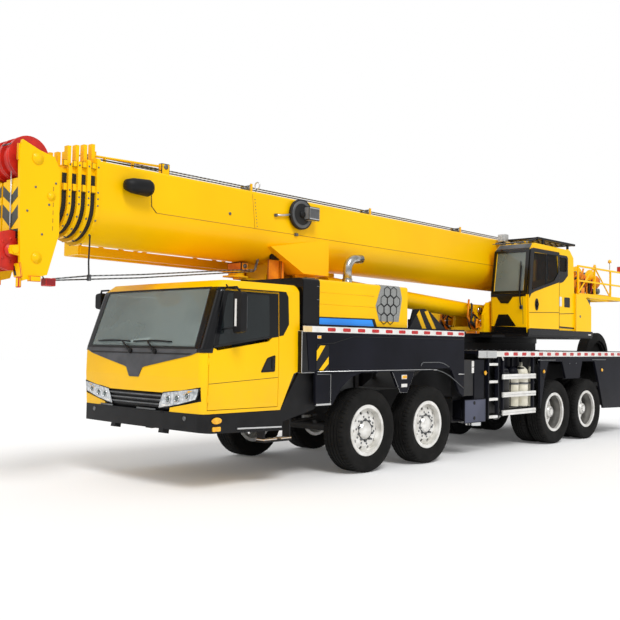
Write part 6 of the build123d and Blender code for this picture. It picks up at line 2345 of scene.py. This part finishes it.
# ---- Tail, luffing foot and machinery -----------------------------------------------------------
class CRANE_OT_machinery(bpy.types.Operator):
    """Fit the hoist drums' rope, hoses, motors and lamps on the tail"""

    bl_idname = "crane.machinery"
    bl_label = "Tail machinery"

    def execute(self, context):
        form = Form("tail_machinery")
        for x, z, radius, half in ((-6.080, 3.330, 0.262, 0.400), (-6.745, 3.330, 0.222, 0.400)):
            turns = 30
            for k in range(turns):
                y = -half + 2 * half * (k + 0.5) / turns
                ring = [(x + radius * math.cos(2 * math.pi * i / 28), y,
                         z + radius * math.sin(2 * math.pi * i / 28))
                        for i in range(28)]
                form.tube(ring, 0.013, "rope", 6, closed=True)
            form.lathe([(-half, 0.0), (-half, radius), (half, radius), (half, 0.0)], (x, 0, z), 1,
                       "steel", 36)
            for side in (1, -1):
                form.lathe([(side * 0.520, 0.150), (side * 0.560, 0.140), (side * 0.600, 0.100),
                            (side * 0.600, 0.0)],
                           (x, 0, z), 1, "orange", 24)
        for side in (1, -1):
            for number in range(5):
                z = 3.080 + 0.055 * number
                form.tube([(-5.150, side * 0.640, z),
                           (-5.420, side * (0.690 + 0.020 * number), z + 0.090),
                           (-5.800, side * 0.700, z + 0.030 - 0.060 * number),
                           (-6.300, side * 0.660, 3.020)], 0.017,
                          "hose" if number % 2 else "orange", 8)
            form.box((-5.220, side * 0.560, 3.020), (-5.420, side * 0.720, 3.360), "orange", 0.014)
            form.box((-5.460, side * 0.600, 3.360), (-5.700, side * 0.700, 3.480), "orange", 0.012)
            form.lathe([(side * 0.700, 0.090), (side * 0.780, 0.086), (side * 0.800, 0.050),
                        (side * 0.800, 0.0)],
                       (-5.640, 0, 3.200), 1, "orange", 20)
            form.tube([(-5.700, side * 0.740, 3.550), (-5.440, side * 0.760, 2.960)], 0.020,
                      "orange", 8)
            form.tube([(-6.660, side * 0.905, 3.590), (-6.660, side * 0.905, 3.760)], 0.012,
                      "aluminium", 8)
            form.lathe([(3.740, 0.0), (3.740, 0.040), (3.800, 0.036), (3.820, 0.0)],
                       (-6.660, side * 0.905, 0), 2,
                       "amber", 16)
            form.lathe([(3.560, 0.0), (3.560, 0.036), (3.600, 0.034), (3.640, 0.026), (3.648, 0.0)],
                       (-5.900, side * 0.905, 0), 2, "amber", 16)
            for number in range(6):
                x = -5.260 - 0.115 * number
                form.tube([(x, side * 0.860, 2.985),
                           (x - 0.060, side * 0.840, 3.250 + 0.030 * (number % 3)),
                           (x - 0.200, side * 0.760, 3.300), (x - 0.260, side * 0.700, 3.060)],
                           0.015,
                          ("orange", "hose", "dark_red")[number % 3], 8)
            form.box((-5.300, side * 0.740, 2.980), (-5.480, side * 0.880, 3.130), "orange", 0.012)
            form.lathe([(side * 0.720, 0.060), (side * 0.870, 0.060), (side * 0.880, 0.040),
                        (side * 0.880, 0.0)],
                       (-6.180, 0, 3.080), 1, "steel", 20)
            form.box((-7.180, side * 0.840, 3.560), (-7.420, side * 0.960, 3.700), "red", 0.010)
            form.box((-5.120, side * 0.600, 2.952), (-7.440, side * 0.900, 2.966), "steel", 0.002)
            for k in range(24):
                x = -5.180 - 0.095 * k
                form.box((x, side * 0.610, 2.964), (x - 0.016, side * 0.890, 2.978), "steel", 0.001,
                         1)
        form.done("superstructure")

        foot = Form("luffing_foot_trim")
        for side in (1, -1):
            foot.lathe([(side * 0.225, 0.078), (side * 0.252, 0.072), (side * 0.252, 0.040),
                        (side * 0.262, 0.034),
                        (side * 0.262, 0.0)], (-2.355, 0, 2.510), 1, "chrome", 24)
            foot.tube([(-2.150, side * 0.180, 2.640), (-1.980, side * 0.300, 2.600),
                       (-1.900, side * 0.340, 2.300),
                       (-2.150, side * 0.380, 2.080)], 0.020, "hose", 10)
            foot.tube([(-2.100, side * 0.150, 2.680), (-1.940, side * 0.260, 2.700),
                       (-1.840, side * 0.300, 2.380),
                       (-2.120, side * 0.330, 2.080)], 0.018, "orange", 10)
            foot.tube([(-2.200, side * 0.200, 2.480), (-2.020, side * 0.260, 2.420),
                       (-1.960, side * 0.270, 2.240),
                       (-2.180, side * 0.290, 2.080)], 0.016, "hose", 10)
            foot.box((-2.080, side * 0.300, 2.120), (-2.200, side * 0.440, 2.330), "orange", 0.012)
            foot.box((-2.052, side * 0.180, 2.080), (-2.120, side * 0.280, 2.220), "gloss", 0.008)
            for k in range(5):
                y = 0.190 + 0.052 * k
                top = 2.470 - 0.050 * k
                foot.tube([(-2.190, side * y, top),
                           (-2.060 + 0.020 * k, side * (y + 0.020), top + 0.060),
                           (-1.940 + 0.030 * (k % 3), side * (y + 0.040), top - 0.100),
                           (-1.990, side * (y + 0.050), 2.200),
                           (-2.160, side * (y + 0.030), 2.085)], 0.014,
                          ("hose", "orange", "seal")[k % 3], 8)
            foot.box((-1.930, side * 0.200, 2.062), (-2.060, side * 0.430, 2.120), "orange", 0.010)
            foot.lathe([(side * 0.430, 0.050), (side * 0.470, 0.048), (side * 0.480, 0.030),
                        (side * 0.480, 0.0)],
                       (-2.120, 0, 2.260), 1, "orange", 18)
        foot.done("superstructure")

        rest = Form("boom_rest_pads")
        rest.box((3.070, -0.262, 2.720), (3.120, 0.262, 2.760), "plastic", 0.006)
        for side in (1, -1):
            rest.box((3.060, side * 0.243, 2.765), (3.122, side * 0.330, 3.080), "orange", 0.008)
            rest.box((3.130, side * 0.272, 2.720), (3.350, side * 0.296, 3.040), "orange", 0.006)
            rest.box((3.150, side * 0.290, 3.040), (3.330, side * 0.330, 3.120), "plastic", 0.010)
        rest.box((3.600, -0.150, 2.856), (3.740, 0.150, 2.980), "orange", 0.014)
        rest.lathe([(-0.160, 0.0), (-0.160, 0.034), (0.160, 0.034), (0.160, 0.0)],
                   (3.670, 0, 2.920), 1, "steel", 18)
        rest.done("carrier")
        return {"FINISHED"}


# ---- Panel and registration ---------------------------------------------------------------------
OPERATORS = (
    CRANE_OT_stage,
    CRANE_OT_packed_finishes,
    CRANE_OT_tyres,
    CRANE_OT_wheel_fittings,
    CRANE_OT_cab_glazing,
    CRANE_OT_cab_front,
    CRANE_OT_cab_sides,
    CRANE_OT_deck_markings,
    CRANE_OT_deck_edges,
    CRANE_OT_deck_fittings,
    CRANE_OT_engine_cover_trim,
    CRANE_OT_crane_cab_glass,
    CRANE_OT_crane_cab_roof,
    CRANE_OT_slew_base,
    CRANE_OT_boom_fittings,
    CRANE_OT_collar_details,
    CRANE_OT_boom_head,
    CRANE_OT_machinery,
)
SETTINGS = {
    "crane_finish": CraneFinishSettings,
    "crane_tyres": CraneTyreSettings,
    "crane_trim": CraneTrimSettings,
}


class VIEW3D_PT_crane(bpy.types.Panel):
    """Lists the crane's settings and its operators"""

    bl_label = "Truck crane"
    bl_idname = "VIEW3D_PT_crane"
    bl_space_type = "VIEW_3D"
    bl_region_type = "UI"
    bl_category = "Crane"

    def draw(self, context):
        for group_name, group in SETTINGS.items():
            box = self.layout.box()
            for prop_name in group.__annotations__:
                box.prop(getattr(context.scene, group_name), prop_name)
        for operator in OPERATORS:
            self.layout.operator(operator.bl_idname)


def register():
    """Registers the classes and hangs the settings on the scene."""
    for group_name, group in SETTINGS.items():
        bpy.utils.register_class(group)
        setattr(bpy.types.Scene, group_name, bpy.props.PointerProperty(type=group))
    for operator in OPERATORS:
        bpy.utils.register_class(operator)
    bpy.utils.register_class(VIEW3D_PT_crane)


def unregister():
    """Takes all of it away again."""
    bpy.utils.unregister_class(VIEW3D_PT_crane)
    for operator in reversed(OPERATORS):
        bpy.utils.unregister_class(operator)
    for group_name, group in SETTINGS.items():
        delattr(bpy.types.Scene, group_name)
        bpy.utils.unregister_class(group)


def main():
    """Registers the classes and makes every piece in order."""
    register()
    for operator in OPERATORS:
        group, name = operator.bl_idname.split(".")
        getattr(getattr(bpy.ops, group), name)()


if __name__ == "__main__":
    main()
